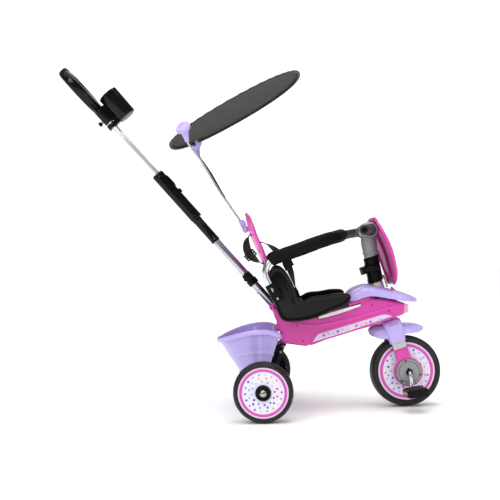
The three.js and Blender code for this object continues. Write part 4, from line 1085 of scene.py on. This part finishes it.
def slide_buckle(path, at, up, twist):
    """A three-bar slide on a strap: its bars cross the strap and its rails run along the strap's edges."""
    along = unit(path[at + 1] - path[at - 1])
    side = unit(np.cross(along, up))
    top = np.cross(side, along)
    angle = math.radians(twist)
    across = side * math.cos(angle) + top * math.sin(angle)
    outward = top * math.cos(angle) - side * math.sin(angle)
    centre = path[at] + outward * 1.2
    shapes = []
    for k in (-9, 0, 9):
        shapes.append(sweep([centre + along * k - across * 16, centre + along * k + across * 16],
            rounded(3.6, 5.6, 1.6, 3), up=outward))
    for k in (-1, 1):
        rail = [centre + across * 15.5 * k - along * 10.6, centre + across * 15.5 * k + along * 10.6]
        shapes.append(sweep(rail, rounded(3.8, 5.6, 1.6, 3), up=outward))
    return shapes


EDGE_THREAD = circle(0.5, 6)
SHOULDER_TWIST, LOOP_TWIST = 62, 70
for name, side in SIDES:
    path = [
        vec(-8, side * 50, 474), vec(4, side * 50.5, 473), vec(22, side * 51, 465), vec(48, side * 49, 444),
        vec(72, side * 43, 414), vec(84, side * 35, 384), vec(92, side * 27, 354), vec(103, side * 18, 317),
    ]
    line = spline(path, 64)
    twist = SHOULDER_TWIST * side
    strap = twisted(line, STRAP, (0.4, 0, 1), twist)
    edges = [twisted(line, shifted(EDGE_THREAD, k, 1.0), (0.4, 0, 1), twist, mark=1) for k in (-10.6, 10.6)]
    piece("harness_strap_" + name, "frame", [webbing, thread], [strap, *edges],
        replaces=["harness_" + name], smooth=50)
    piece("harness_slide_" + name, "frame", satin_black,
        slide_buckle(line, 33, (0.4, 0, 1), twist))
button = [vec(103.5, -8, 311.2), vec(103.5, 8, 311.2)]
moulded("harness_clasp", "frame", satin_black, 0.7, 3, nodes=["harness_buckle"],
        shapes=[sweep(button, rounded(12, 3, 1.2, 3), up=(0.47, 0, 0.88))])

loop_path = [
    vec(-27, -44, 501), vec(-36, -44, 489), vec(-41, -44, 471), vec(-38, -44, 449), vec(-27, -44, 434),
    vec(-12, -44, 422),
    vec(5, -44, 412),
]
loop_line = spline(loop_path, 52)
LOOP_UP = (1, 0, 0.6)
piece("back_strap", "frame", [webbing, thread], [
    twisted(loop_line, STRAP, LOOP_UP, LOOP_TWIST),
    *[twisted(loop_line, shifted(EDGE_THREAD, k, 1.0), LOOP_UP, LOOP_TWIST, mark=1) for k in (-10.6, 10.6)],
], replaces=["rear_strap"], smooth=50)
piece("back_strap_slide", "frame", satin_black,
    slide_buckle(loop_line, 31, LOOP_UP, LOOP_TWIST))

# ---- Safety ring ---------------------------------------------------------------------------------

RING_HALF = 134
ring_half = [
    (43, 1, 322), (33, 1, 341), (22, 1, 361), (14, 1, 379), (12, 1, 396), (18, 1, 414), (32, 1, 427),
    (61, 0.995, 437),
    (110, 0.95, 453), (150, 0.85, 467), (188, 0.66, 479), (217, 0.36, 486),
]
ring_points = [vec(x, -share * RING_HALF, z) for x, share, z in ring_half] + [vec(228, 0, 489)]
ring_points += [vec(x, share * RING_HALF, z) for x, share, z in reversed(ring_half)]
ring_line = spline(ring_points, 240)
ring_up = (-0.9, 0, 1)
piece("ring_steel", "safety_ring", steel, [sweep(ring_line, circle(9, 28), up=ring_up)],
    replaces=["ring_tube"], smooth=60)

foam_line = np.array([p for p in ring_line if p[2] > 419 and p[0] > 20])
FOAM_RADIUS = 18.3
foam_line = nosed(foam_line, 9, 6)
foam_rows = []
foam_reach = np.concatenate([[0], np.cumsum(np.linalg.norm(np.diff(foam_line, axis=0), axis=1))])
for i, p in enumerate(foam_line):
    before, after = foam_line[max(i - 1, 0)], foam_line[min(i + 1, len(foam_line) - 1)]
    along = unit(after - before)
    side_way = unit(np.cross(along, ring_up))
    top = np.cross(side_way, along)
    near = min(1.0, min(foam_reach[i], foam_reach[-1] - foam_reach[i]) / 9)
    k = 0.66 + 0.34 * math.sqrt(1 - (1 - near) ** 2)
    row = []
    for a in np.linspace(0, 2 * math.pi, 40, endpoint=False):
        ripple = 0.28 * math.sin(foam_reach[i] / 7.5 + 2.2 * math.sin(a)) * math.sin(a * 2
            + foam_reach[i] / 31)
        seam = 0.9 * math.exp(-((a - 1.5 * math.pi) / 0.09) ** 2)
        r = (FOAM_RADIUS + ripple - seam) * k
        row.append(p + side_way * r * math.cos(a) + top * r * math.sin(a))
    foam_rows.append(row)
foam = piece("ring_padding", "safety_ring", foam_cloth, [loft(foam_rows)],
    replaces=["ring_foam"], smooth=60)


def stitches(line, ups, pitch, length, radius, lift, sideways=0.0):
    """Short threads along a line, each lying on the surface lift above it."""
    line = np.array(line, float)
    reach = np.concatenate([[0], np.cumsum(np.linalg.norm(np.diff(line, axis=0), axis=1))])
    shapes = []
    for k in range(int(reach[-1] / pitch)):
        at = (k + 0.5) * pitch
        ends = [vec(*[np.interp(at + d, reach, line[:, c]) for c in range(3)])
            for d in (-length / 2, length / 2)]
        along = unit(ends[1] - ends[0])
        up = vec(*[np.interp(at, reach, np.array(ups)[:, c])
            for c in range(3)]) if np.ndim(ups) == 2 else np.array(ups, float)
        side_way = unit(np.cross(along, up))
        top = np.cross(side_way, along)
        move = top * lift + side_way * sideways
        middle_point = (ends[0] + ends[1]) / 2 + top * 0.25
        shapes.append(sweep([ends[0] + move, middle_point + move, ends[1] + move], circle(radius, 5), up=up,
            size=lambda s: 0.6 if s in (0, 1) else 1))
    return shapes


piece("ring_stitching", "safety_ring", thread,
      stitches(foam_line[8:-8], ring_up, 6.0, 3.6, 0.4, -FOAM_RADIUS + 0.55, 1.3) +
      stitches(foam_line[8:-8], ring_up, 6.0, 3.6, 0.4, -FOAM_RADIUS + 0.55, -1.3))

for name, side in SIDES:
    y = side * RING_HALF
    axis = unit(vec(24.5, 0, -46))
    top_at = vec(23.5, y, 358)
    mouth = turned([(9.8, 0), (13.6, 0), (14.2, 1), (14.2, 6), (13.4, 7.4), (9.8, 7.4)],
        top_at - axis * 1.5, top_at + axis, 48)
    band_at = top_at + axis * 30
    band = sweep([band_at, band_at + axis * 7], rounded(29, 32, 8, 5), up=(1, 0, 0))
    moulded("ring_holder_" + name, "frame", satin_black, 1.0, 3,
        nodes=["ring_socket_" + name],
            shapes=[mouth, band])
    outer = y + side * 15.4
    hardware = [screw(top_at + axis * d + vec(0, side * 15.2, 0), (0, side, 0), 3.4, 1.8) for d in (14, 42)]
    clip = sweep([vec(26, outer, 350), vec(32, outer, 339)], rounded(4, 1.2, 0.5, 2), up=(0, side, 0))
    piece("ring_hardware_" + name, "frame", brass, [*hardware, clip])

# ---- Basket --------------------------------------------------------------------------------------

basket_plan = [
    (1, -0.62), (1.22, -0.78), (1.16, -0.96), (0.7, -1.0), (0.3, -0.98), (-0.1, -0.92), (-0.5, -0.76),
    (-0.8, -0.5), (-0.97, -0.2),
    (-0.97, 0.2), (-0.8, 0.5), (-0.5, 0.76), (-0.1, 0.92), (0.3, 0.98), (0.7, 1.0), (1.16, 0.96),
    (1.22, 0.78), (1, 0.62),
    (1, 0.3), (1, 0), (1, -0.3),
]
plan = spline(basket_plan, 132, ring=True)


def basket_row(level, grow=0.0, drop=0.0, shrink=1.0):
    """The basket's outline at a level from 0 at the floor to 1 at the rim."""
    front, rear, half = 9 + 19 * level, -66 - 62 * level, 86 + 36 * level
    centre_x, half_length = (front + rear) / 2, (front - rear) / 2
    row = []
    for along, across in plan:
        shape = 1 + (along - 1) * level if along > 1 else along
        rim = 203 + 32 * math.sin(math.radians(55 * (along + 1))) - 27 * max(0, along - 0.6) ** 2
        dent = 0.0
        if abs(across) > 0.86 and 0.15 < level < 0.93:
            dent = 3.0 * math.exp(-(((along - 0.42) / 0.16) ** 4))
        y = math.copysign(max(0, abs(across) * (half + grow) - dent), across)
        x = centre_x + shape * (half_length + grow)
        row.append((centre_x + (x - centre_x) * shrink, y * shrink, 108 + level * (rim - 108) - drop))
    return row


basket_rows = [basket_row(0, shrink=0.02), basket_row(0, shrink=0.4), basket_row(0, shrink=0.8),
    basket_row(0, -3)]
basket_rows += [basket_row(0.012, -0.6), basket_row(0.03, 0.2)]
for level in np.linspace(0.08, 0.42, 8):
    basket_rows.append(basket_row(level, 0.6))
basket_rows += [basket_row(0.445, 0.8), basket_row(0.46, 2.2), basket_row(0.50, 2.4), basket_row(0.515, 1.0)]
for level in np.linspace(0.56, 0.93, 8):
    basket_rows.append(basket_row(level, 0.6))
basket_rows += [
    basket_row(0.965, 0.2), basket_row(0.99, 0.4), basket_row(1, 1.6), basket_row(1, 4.2, -0.3),
    basket_row(1, 5.8, 1.4),
    basket_row(1, 6.2, 5), basket_row(1, 5.8, 12.5),
]
piece("basket_bin", "frame", lilac, [shell(basket_rows, 2.6, closed=True)],
    replaces=["basket"], smooth=45)

# ---- Rear support and axle -----------------------------------------------------------------------

support_ribs = []
for _, side in SIDES:
    rib = [vec(6, side * 52, 78), vec(20, side * 52, 104), vec(34, side * 52, 136), vec(46, side * 52, 172)]
    support_ribs.append(sweep(nosed(spline(rib, 20), 3), rounded(7, 4, 1.5, 3), up=(0, side, 0), nose=3))
moulded("rear_support", "frame", satin_black, 1.5, 4, nodes=["rear_bracket"],
    shapes=support_ribs)
bolts = []
for _, side in SIDES:
    for x, z in ((56, 181), (47, 165), (4, 80)):
        bolts.append(screw((x, side * 51.6, z), (0, side, 0), 4.4, 2.6))
piece("support_bolts", "frame", brass, bolts)
axle_line = [vec(0, -238.5, REAR_HEIGHT), vec(0, 238.5, REAR_HEIGHT)]
collars = [pipe(vec(0, s * 176.5, REAR_HEIGHT), vec(0, s * 181.5, REAR_HEIGHT), 9, 5.05, 28)
    for _, s in SIDES]
piece("axle_rod", "frame", steel, [rod(*axle_line, 5, 32), *collars], replaces=["rear_axle"])

# ---- Push bar ------------------------------------------------------------------------------------

TUBE_RADIUS = 11
piece("bar_lower", "frame", wire_steel, [rod(on_bar(-36), on_bar(262), TUBE_RADIUS, 56, 0.6)],
    replaces=["push_tube_lower"])
# The upper tube's pale colour is a painted reflection of the white studio.
piece("bar_upper", "push_bar_upper", tube_steel_painted_reflection,
    [rod(on_bar(452), on_bar(744), TUBE_RADIUS, 56, 0.6)],
      replaces=["push_tube_upper"])
pins = [screw(on_bar(60, 0, -10.6), (0, -1, 0), 2.4, 2.2), screw(on_bar(52, -10.6), -bar_out, 2.2, 3.4)]
piece("bar_lower_pins", "frame", brass, pins)
piece("bar_upper_pins", "push_bar_upper", brass, [screw(on_bar(690, -10.6), -bar_out, 2.4, 4.2)])

KNOB_AT = 106
collar_profile = [
    (11.4, 0), (14.2, 0), (15.2, 1.2), (15.2, 16), (14.2, 17.4), (12.6, 18.6), (12.6, 38.8), (12, 40),
    (11.4, 40),
]
boss = rod(on_bar(KNOB_AT), on_bar(KNOB_AT, 0, -17.4), 7.4, 32)
piece("bar_collar", "frame", satin_black,
    [turned(collar_profile, on_bar(78), on_bar(118), 56), boss],
      replaces=["push_collar"])


def knob(name, body, at, out, profile, lobes, depth, material_of, node):
    """A turned knob with a fluted rim."""
    at, out = np.array(at, float), unit(np.array(out, float))
    helper = vec(0, 0, 1) if abs(out[2]) < 0.9 else vec(1, 0, 0)
    across = unit(np.cross(out, helper))
    other = np.cross(out, across)
    rows = []
    for k in range(96):
        angle = 2 * math.pi * k / 96
        flute = 1 - depth * (0.5 - 0.5 * math.cos(lobes * angle)) ** 3
        spoke = across * math.cos(angle) + other * math.sin(angle)
        rows.append([at + out * s + spoke * r * (flute if r > 4 else 1) for r, s in profile])
    return piece(name, body, material_of, [loft(rows, ring=True, closed=False)], replaces=[node],
        smooth=50)


knob_profile = [(0, 0), (8, 0), (9, 1), (13.6, 1.6), (14.4, 3), (14.4, 8.6), (13.4, 10.6), (10, 11.6),
    (4, 12), (0, 12)]
knob("collar_knob", "push_knob", on_bar(KNOB_AT, 0, -17.8), (0, -1, 0), knob_profile, 7, 0.13, satin_black,
    "push_knob")

sleeve = [
    (11.4, 0), (13, 0), (13.8, 0.8), (13.8, 6), (13.2, 7), (13.2, 76), (13.8, 77), (13.8, 84), (13.2, 84.7),
    (11.4, 84.7),
]
piece("bar_sleeve", "frame", black, [turned(sleeve, on_bar(243), on_bar(330), 56)],
    replaces=["push_sleeve"])

housing_details = []
for side in (-1, 1):
    groove_path = [on_bar(t, 2.5, side * 15.6) for t in np.linspace(338, 490, 10)]
    housing_details.append(sweep(nosed(groove_path, 6), rounded(10, 2.4, 1, 3), up=(0, side, 0), nose=6,
        blunt=0.4))
housing_bore = rod(on_bar(320), on_bar(510), 11.5, 48)
lens = rod(on_bar(421, 13), on_bar(421, 40), 7.7, 40)
moulded("release_housing", "frame", black, 1.0, 4, nodes=["push_housing"],
    shapes=housing_details,
        cuts=[housing_bore, lens])
button_profile = [(0, 0), (7, 0), (7, 6.6), (6.5, 7.8), (5.2, 8.7), (3, 8.8), (2, 8.4), (0, 8.2)]
piece("press_button", "release_button", satin_black,
      [turned(button_profile, on_bar(421, 16), on_bar(421, 60), 40)], replaces=["release_button"], smooth=50)

loop_outline = [
    (758, 0), (766, 26), (790, 50), (825, 62), (858, 60), (882, 42), (891, 0), (882, -42), (858, -60),
    (825, -62), (790, -50),
    (766, -26),
]
loop_ring = spline([on_bar(t, -1, y) for t, y in loop_outline], 96, ring=True)
handle_section = rounded(24, 29, 10, 6)
neck_profile = [(11.5, 0), (13.2, 0), (14.2, 1), (14.2, 5), (15, 6.5), (15.4, 40), (14.6, 54), (13, 62),
    (11.5, 64)]
neck = turned(neck_profile, on_bar(701), on_bar(900), 56)
web = sweep([on_bar(698, 17.5), on_bar(752, 17.5)], rounded(9, 9, 2, 3), up=bar_out)
piece("handle_grip", "push_bar_upper", black,
      [sweep(loop_ring, handle_section, up=bar_out, ring=True), neck, web,
      rod(on_bar(746), on_bar(766), 12.5, 40)],
      replaces=["handle_loop"], smooth=60)
inner_ring = [on_bar(826 + (t - 826) * 0.79, -1, y * 0.78) for t, y in loop_outline]
piece("handle_seam", "push_bar_upper", satin_black,
      [sweep(spline(inner_ring, 96, ring=True), circle(1.3, 8), up=bar_out, ring=True)])
small_knob = [(0, 0), (3, 0), (3, 2.6), (6, 3.4), (6.8, 4.4), (6.8, 9.6), (6, 11.4), (3.4, 12.4), (0, 12.5)]
knob("grip_knob", "handle_knob", on_bar(716, -15.9), -bar_out, small_knob, 6, 0.14, satin_black,
    "handle_knob")

cup_profile = [
    (0, 0), (22, 0), (25.4, 0.7), (27.4, 2.6), (28.4, 6), (29.6, 60), (30, 80), (30.2, 84), (29.8, 85.6),
    (28.7, 86),
    (27.7, 85.2), (27.4, 80), (26.6, 8), (25, 4), (22, 3.2), (0, 3.2),
]
cup_at = on_bar(681, 50)
clip_ring = pipe(on_bar(682.5), on_bar(697), 15.4, 11.5, 48)
arm = sweep([on_bar(683.5, 17), on_bar(685, 17), on_bar(695, 17), on_bar(696.5, 17)], rounded(17, 13, 4, 4),
    up=bar_out)
piece("cup_carrier", "push_bar_upper", black,
      [turned(cup_profile, cup_at, on_bar(900, 50), 88), clip_ring, arm], replaces=["cup_holder"], smooth=45)

# ---- Canopy --------------------------------------------------------------------------------------

CANOPY_HALF = (214, 206)
RIM_POWER = 2 / 2.27


def rim_point(angle, shrink=0.0):
    c, s = math.cos(angle), math.sin(angle)
    along = math.copysign(abs(c) ** RIM_POWER, c) * (CANOPY_HALF[0] - shrink)
    return along, math.copysign(abs(s) ** RIM_POWER, s) * (CANOPY_HALF[1] - shrink)


RIM_ANGLES = [2 * math.pi * k / 180 for k in range(180)]
hoop_line = [on_canopy(*rim_point(a, 5)) for a in RIM_ANGLES]
piece("hoop_wire", "canopy", steel, [sweep(hoop_line, circle(2.0, 10), up=canopy_up, ring=True)],
    replaces=["canopy_hoop"])

CLOTH_RISE = 12.5
CLOTH_LIFT = 3.4


def cloth_height(share, angle):
    """How far the cloth stands above the rim's plane, from the middle (0) to the rim (1)."""
    dome = CLOTH_RISE * (1 - share ** 2.4)
    pucker = 0.55 * math.sin(46 * angle) * share ** 14
    broad = 0.9 * math.sin(3 * angle + 0.7) * share ** 2 * (1 - share) * 4
    return dome * 0.78 + pucker + broad


cloth_shares = [0.001, 0.08, 0.18, 0.28, 0.38, 0.48, 0.58, 0.67, 0.75, 0.82, 0.88, 0.92, 0.95, 0.975, 0.99,
    1.0]
cloth_rows = []
for share in cloth_shares:
    row = []
    for angle in RIM_ANGLES:
        along, across = rim_point(angle, 1.2)
        row.append(on_canopy(along * share, across * share, CLOTH_LIFT + cloth_height(share, angle)))
    cloth_rows.append(row)
cloth = piece("canopy_sheet", "canopy", canopy_cloth, [shell(cloth_rows, 0.7, closed=True)],
              replaces=["canopy_cloth"], smooth=60)
hem_rows = [on_canopy(*rim_point(a, 4.4), 0.4) for a in RIM_ANGLES]
# The hem's colour is lightened against the shade it sits in: painted light.
hem = piece("canopy_hem", "canopy", hem_cloth_painted_light,
            [sweep(hem_rows, [(a, 0.72 * b) for a, b in circle(4, 18)], up=canopy_up, ring=True)], smooth=60)
seam_line = [on_canopy(*rim_point(a, 11), CLOTH_LIFT + cloth_height(0.955, a)) for a in RIM_ANGLES + [0]]
under = [p - canopy_up * 1.3 for p in seam_line]
seam_stitches = piece("canopy_stitching", "canopy", thread,
                      stitches(seam_line, canopy_up, 6.5, 4.2, 0.4, 0.35)
                      + stitches(under, canopy_up, 6.5, 4.2, 0.4, 0.0))

tilt_joint = joint["canopy_tilt"]
hold = in_chassis(tilt_joint["pos_m"])
TILT_STEPS = [math.radians(a) for a in (-12, 0, 12)]


def tilted(point, angle):
    """A point turned about the canopy's hinge."""
    c, s = math.cos(angle), math.sin(angle)
    x, z = point[0] - hold[0], point[2] - hold[2]
    return vec(hold[0] + x * c + z * s, point[1], hold[2] - x * s + z * c)


def rim_rooms(side):
    """The space that the canopy's edge sweeps through a knuckle."""
    near = [on_canopy(*rim_point(side * math.radians(a), 5)) for a in range(110, 166, 3)]
    rooms = []
    for angle in TILT_STEPS:
        rooms.append(sweep([tilted(p, angle) for p in near], rounded(11, 8.6, 3.5, 3), up=canopy_up))
    return rooms


clamp_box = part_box("canopy_clamp_left")
disc_outer = clamp_box[1].y / MM
disc_inner = disc_outer - 13.5
for name, side in SIDES:
    out = vec(0, side, 0)
    lean = unit(canopy_up * 0.72 + out * 0.69)
    face = vec(hold[0], side * (disc_inner + 5), hold[2])
    cap = [
        (0, -1), (15, -1), (19.4, 0), (21, 2), (21, 6.6), (20.2, 8.8), (18, 10.4), (16.6, 10.6),
        (15.6, 9.8), (14.8, 9.2),
        (8, 10.2), (3, 10.8), (0, 10.9),
    ]
    jaw = rod(vec(hold[0], side * (disc_inner - 24), hold[2]),
        vec(hold[0], side * (disc_inner + 4), hold[2]), 11.5, 40)
    stem_foot = vec(hold[0] + 8, side * (disc_inner - 3), hold[2] - 33)
    stem = turned([(0, 0), (5.8, 0), (7.4, 12), (10.6, 24), (12, 31), (0, 31)], stem_foot, face, 40)
    moulded("canopy_knuckle_" + name, "frame", lilac, 0.8, 5,
        shapes=[jaw, stem, turned(cap, face, face + lean, 72)],
            replaces=["canopy_clamp_" + name], cuts=rim_rooms(side))
    path = [
        vec(-46, side * 8, 508), vec(-60, side * 8, 538), vec(-86, side * 15, 577), vec(-106, side * 34, 608),
        vec(-161, side * 132, 704), vec(-188, side * 165, 744),
        vec(hold[0] + 4, side * disc_inner, hold[2] - 15),
    ]
    line = np.vstack([spline(path[:2], 6)[:-1], spline(path[1:], 60)])
    piece("strut_wire_" + name, "frame", wire_steel, [sweep(line, circle(3.2, 18), up=(0, 1, 0.2))],
          replaces=["strut_" + name], smooth=60)
    ferrule_at = line[44]
    ferrule_run = unit(line[45] - line[43])
    piece("strut_ferrule_" + name, "frame", wire_steel,
          [rod(ferrule_at - ferrule_run * 3, ferrule_at + ferrule_run * 3, 4.2, 24)])
    if name == "left":
        covered = [p for p in line if 606 < p[2] < 684]
        piece("strut_cover", "frame", satin_black,
            [sweep(covered, circle(3.9, 18), up=(0, 1, 0.2))])
strut_clips = []
for z in (556, 574):
    half_gap = 8 + (z - 538) * 0.19
    x = -60 - (z - 538) * 0.67
    strut_clips.append(sweep([vec(x, -half_gap - 4, z), vec(x, half_gap + 4, z)], rounded(9, 4.6, 1.6, 3),
        up=(0.8, 0, 0.55)))
piece("strut_clips", "frame", pale_grey, strut_clips)
mount_foot = sweep([vec(-43, 0, 511), vec(-33, 0, 515)], rounded(26, 14, 3, 3), up=(0.4, 0, 1))
moulded("canopy_mount", "frame", lilac, 0.7, 6, nodes=["canopy_bracket"],
    shapes=[mount_foot])
piece("mount_screws", "frame", brass,
    [screw((-52, s * 16.8, 520), (0, s, 0), 3, 1.4) for _, s in SIDES])

# ---- Steering column, handlebar and shield -------------------------------------------------------

rings = []
for w, u in ((268, 0.6), (274, 1.8), (300, 4.2), (316, 6), (333, 8.6)):
    rings.append(turned([(0, 0), (22.6, 0), (23.6, 0.8), (23.6, 2.8), (22.6, 3.6), (0, 3.6)], vec(u, 0, w),
        vec(u, 0, w + 10), 56))
ear_bolts = [rod(vec(-22, -12, w), vec(-22, 12, w), 4.6, 24) for w in (301, 313)]
moulded("column_sleeve", "steering", satin_black, 0.9, 2, nodes=["column_clamp"],
        shapes=[*rings, *ear_bolts], where=STEERING)
column_bolts = []
for _, side in SIDES:
    for w in (301, 313):
        column_bolts.append(screw((-22, side * 11.8, w), (0, side, 0), 4.0, 2.4))
piece("column_bolts", "steering", brass, column_bolts, where=STEERING)
moulded("quick_lever", "clamp_lever", satin_black, 0.7, 3, nodes=["clamp_lever"])
band_tiles = []
for row, w in enumerate((244.5, 254)):
    for k in range(12):
        angle = 2 * math.pi * (k + 0.5 * row) / 12
        spoke = vec(math.cos(angle), math.sin(angle), 0)
        at = spoke * 18.9 + vec(0, 0, w)
        band_tiles.append(sweep([at, at + vec(0, 0, 8)], rounded(8.4, 0.9, 0.4, 2), up=spoke,
            mark=(k * 3 + row * 2) % 5))
piece("column_band", "steering", [prints[k] for k in ("cyan", "lemon", "rose", "sky", "blush")],
    band_tiles, where=STEERING)

neck_rows = []
for u, w, r in spline([(9.6, 338.4, 20.5), (12, 350, 21), (17, 378, 23.5), (22, 398, 23), (24, 412, 19)], 30):
    neck_rows.append([(u + a, b, w) for a, b in circle(r, 48)])
barrel_profile = [
    (0, 0), (17.5, 0), (19.2, 1.4), (20.4, 4), (22, 8), (23, 20), (23, 24), (22.2, 25), (22.2, 27),
    (23.2, 28), (23.5, 44),
    (23.2, 60), (22.2, 61), (22.2, 63), (23, 64), (23, 68), (22, 80), (20.4, 84), (19.2, 86.6), (17.5, 88),
    (0, 88),
]
barrel = turned(barrel_profile, vec(25, -44, 412), vec(25, 44, 412), 72)
knuckle_ring = turned([(0, 0), (22, 0), (23, 1), (23, 6), (22, 7), (0, 7)], vec(11.4, 0, 346),
    vec(14, 0, 360), 56)
piece("bar_hub", "steering", grey, [loft(neck_rows), barrel, knuckle_ring], where=STEERING,
      replaces=["handlebar_hub"], smooth=40)
piece("hub_screws", "steering", brass,
      [screw((4.5, s * 9, 372), (-1, 0, 0.1), 2.6, 1.4) for s in (-1, 1)], where=STEERING)


def grip_inner(side):
    return vec(18, side * 70, 412.6)


def grip_outer(side):
    return vec(-15, side * 155, 418.5)


bar_points = [grip_outer(-1) * 0.94 + grip_inner(-1) * 0.06, grip_inner(-1), vec(25, -42, 412),
    vec(25, 42, 412), grip_inner(1),
              grip_outer(1) * 0.94 + grip_inner(1) * 0.06]
bar_line = np.vstack([bar_points[0], spline(bar_points[1:5], 24), bar_points[5]])
piece("bar_tube", "steering", steel, [sweep(bar_line, circle(10, 32), up=(0, 0, 1))], where=STEERING,
      replaces=["handlebar"], smooth=50)
for name, side in SIDES:
    inner, outer = grip_inner(side), grip_outer(side)
    start = inner + (inner - outer) * 0.08
    length = float(np.linalg.norm(outer - start))
    profile = [(10.3, 0), (16.4, 0), (17.6, 0.8), (18, 2.5), (17.6, 4.2), (16.4, 5), (14.2, 6), (13.4, 8)]
    bumps = 15
    for k in range(bumps):
        base = 10 + (length - 22) * k / bumps
        step = (length - 22) / bumps
        profile += [(12.7, base), (13.3, base + step * 0.35), (13.3, base + step * 0.65), (12.7, base + step)]
    profile += [(13.2, length - 10), (13.9, length - 8), (13.9, length - 3), (13, length - 1), (10, length),
        (4, length - 0.3), (0, length - 0.3)]
    points, faces, index = turned([(10.3, 0.4), *profile[1:], (0, length - 5.5), (10.3, length - 5.5)],
        start, outer, 48)
    piece("grip_rubber_" + name, "steering", grip_rubber, [(points, faces, index)],
        where=STEERING,
          replaces=["grip_" + name], smooth=40)
    end_axis = unit(outer - inner)
    rim_ring = turned([(8.4, -0.8), (12.4, -0.8), (12.8, 0), (12.2, 1), (9, 1), (8.4, 0.4)], outer,
        outer + end_axis, 40)
    piece("grip_rim_" + name, "steering", grip_rubber, [rim_ring], where=STEERING)
    plug = turned([(0, -0.6), (8.2, -0.6), (8.2, 0.1), (6, 0.35), (5.6, -0.1), (0, -0.1)], outer,
        outer + end_axis, 36)
    piece("grip_plug_" + name, "steering", satin_black, [plug], where=STEERING)
    flange = turned([(13.6, 0), (18.1, 0), (18.6, 0.8), (18.6, 2.4), (18, 3.2), (13.6, 3.2)],
        start + unit(outer - inner) * 1.2, outer, 48)
    piece("grip_ring_" + name, "steering", grey, [flange], where=STEERING)

shield_stations = [
    (248, 50, 34), (251, 53, 42), (258, 57, 52), (270, 61.5, 64), (286, 64.5, 74), (331, 68, 88),
    (370, 66, 92), (400, 61, 86),
    (418, 58.8, 72), (430, 57, 54), (437, 56, 40), (438.5, 55.5, 34),
]
SHIELD_BEND = 15
shield_rows = []
for w, u, half in spline(shield_stations, 52):
    bend = SHIELD_BEND * (half / 92)
    shield_rows.append([(u - bend * s * s, half * s, w) for s in np.linspace(-1, 1, 41)])
shield_edge = [row[0] for row in shield_rows] + list(shield_rows[-1][1:-1]) + [row[-1]
    for row in reversed(shield_rows)]
shield_edge += list(reversed(shield_rows[0][1:-1]))
edge_ring = spline([np.array(p) - vec(2.6, 0, 0) for p in shield_edge[::3]], 180, ring=True)
shield_bead = sweep(edge_ring, circle(4.4, 14), up=(1, 0, 0), ring=True)
tab_box = sweep([vec(34, 0, 437.2), vec(54, 0, 437.6)], rounded(27, 3, 1.2, 3), up=(0, 0, 1))
panel_rows = []
for w, u, half in spline(shield_stations, 30)[5:25]:
    bend = SHIELD_BEND * (half / 92)
    panel_rows.append([(u - bend * (s * 0.74) ** 2 + 1.8, half * 0.74 * s, w)
        for s in np.linspace(-1, 1, 29)])
shield_ribs = []
for s in (-0.45, 0.45):
    rib = [vec(u - SHIELD_BEND * (half / 92) * s * s - 6, half * s, w)
        for w, u, half in spline(shield_stations, 24)[3:21]]
    shield_ribs.append(sweep(rib, rounded(3, 8, 1.2, 2), up=(1, 0, 0)))
boss_rod = rod(vec(49.4, 0, 408), vec(58, 0, 408), 9, 40)
piece("front_shield", "steering", [pink, disc_lip],
      [shell(shield_rows, 3.4), shield_bead, tab_box, boss_rod, *shield_ribs,
      marked(shell(panel_rows, 1.6), 1)],
      where=STEERING, replaces=["shield"], smooth=50)
# The fairing's crest stands above the CAD solid's, so the rod's foot is higher than the CAD rod's.
# It stays clear of the fairing over the whole steering range.
STAY_FORWARD, STAY_FOOT, STAY_HEAD = 27.5, 240.5, 277
stay = rod(vec(STAY_FORWARD, 0, STAY_FOOT), vec(STAY_FORWARD, 0, STAY_HEAD), 2.6, 24, 0.6)
piece("stay_rod", "steering", steel, [stay], where=STEERING,
      replaces=["shield_stay"])
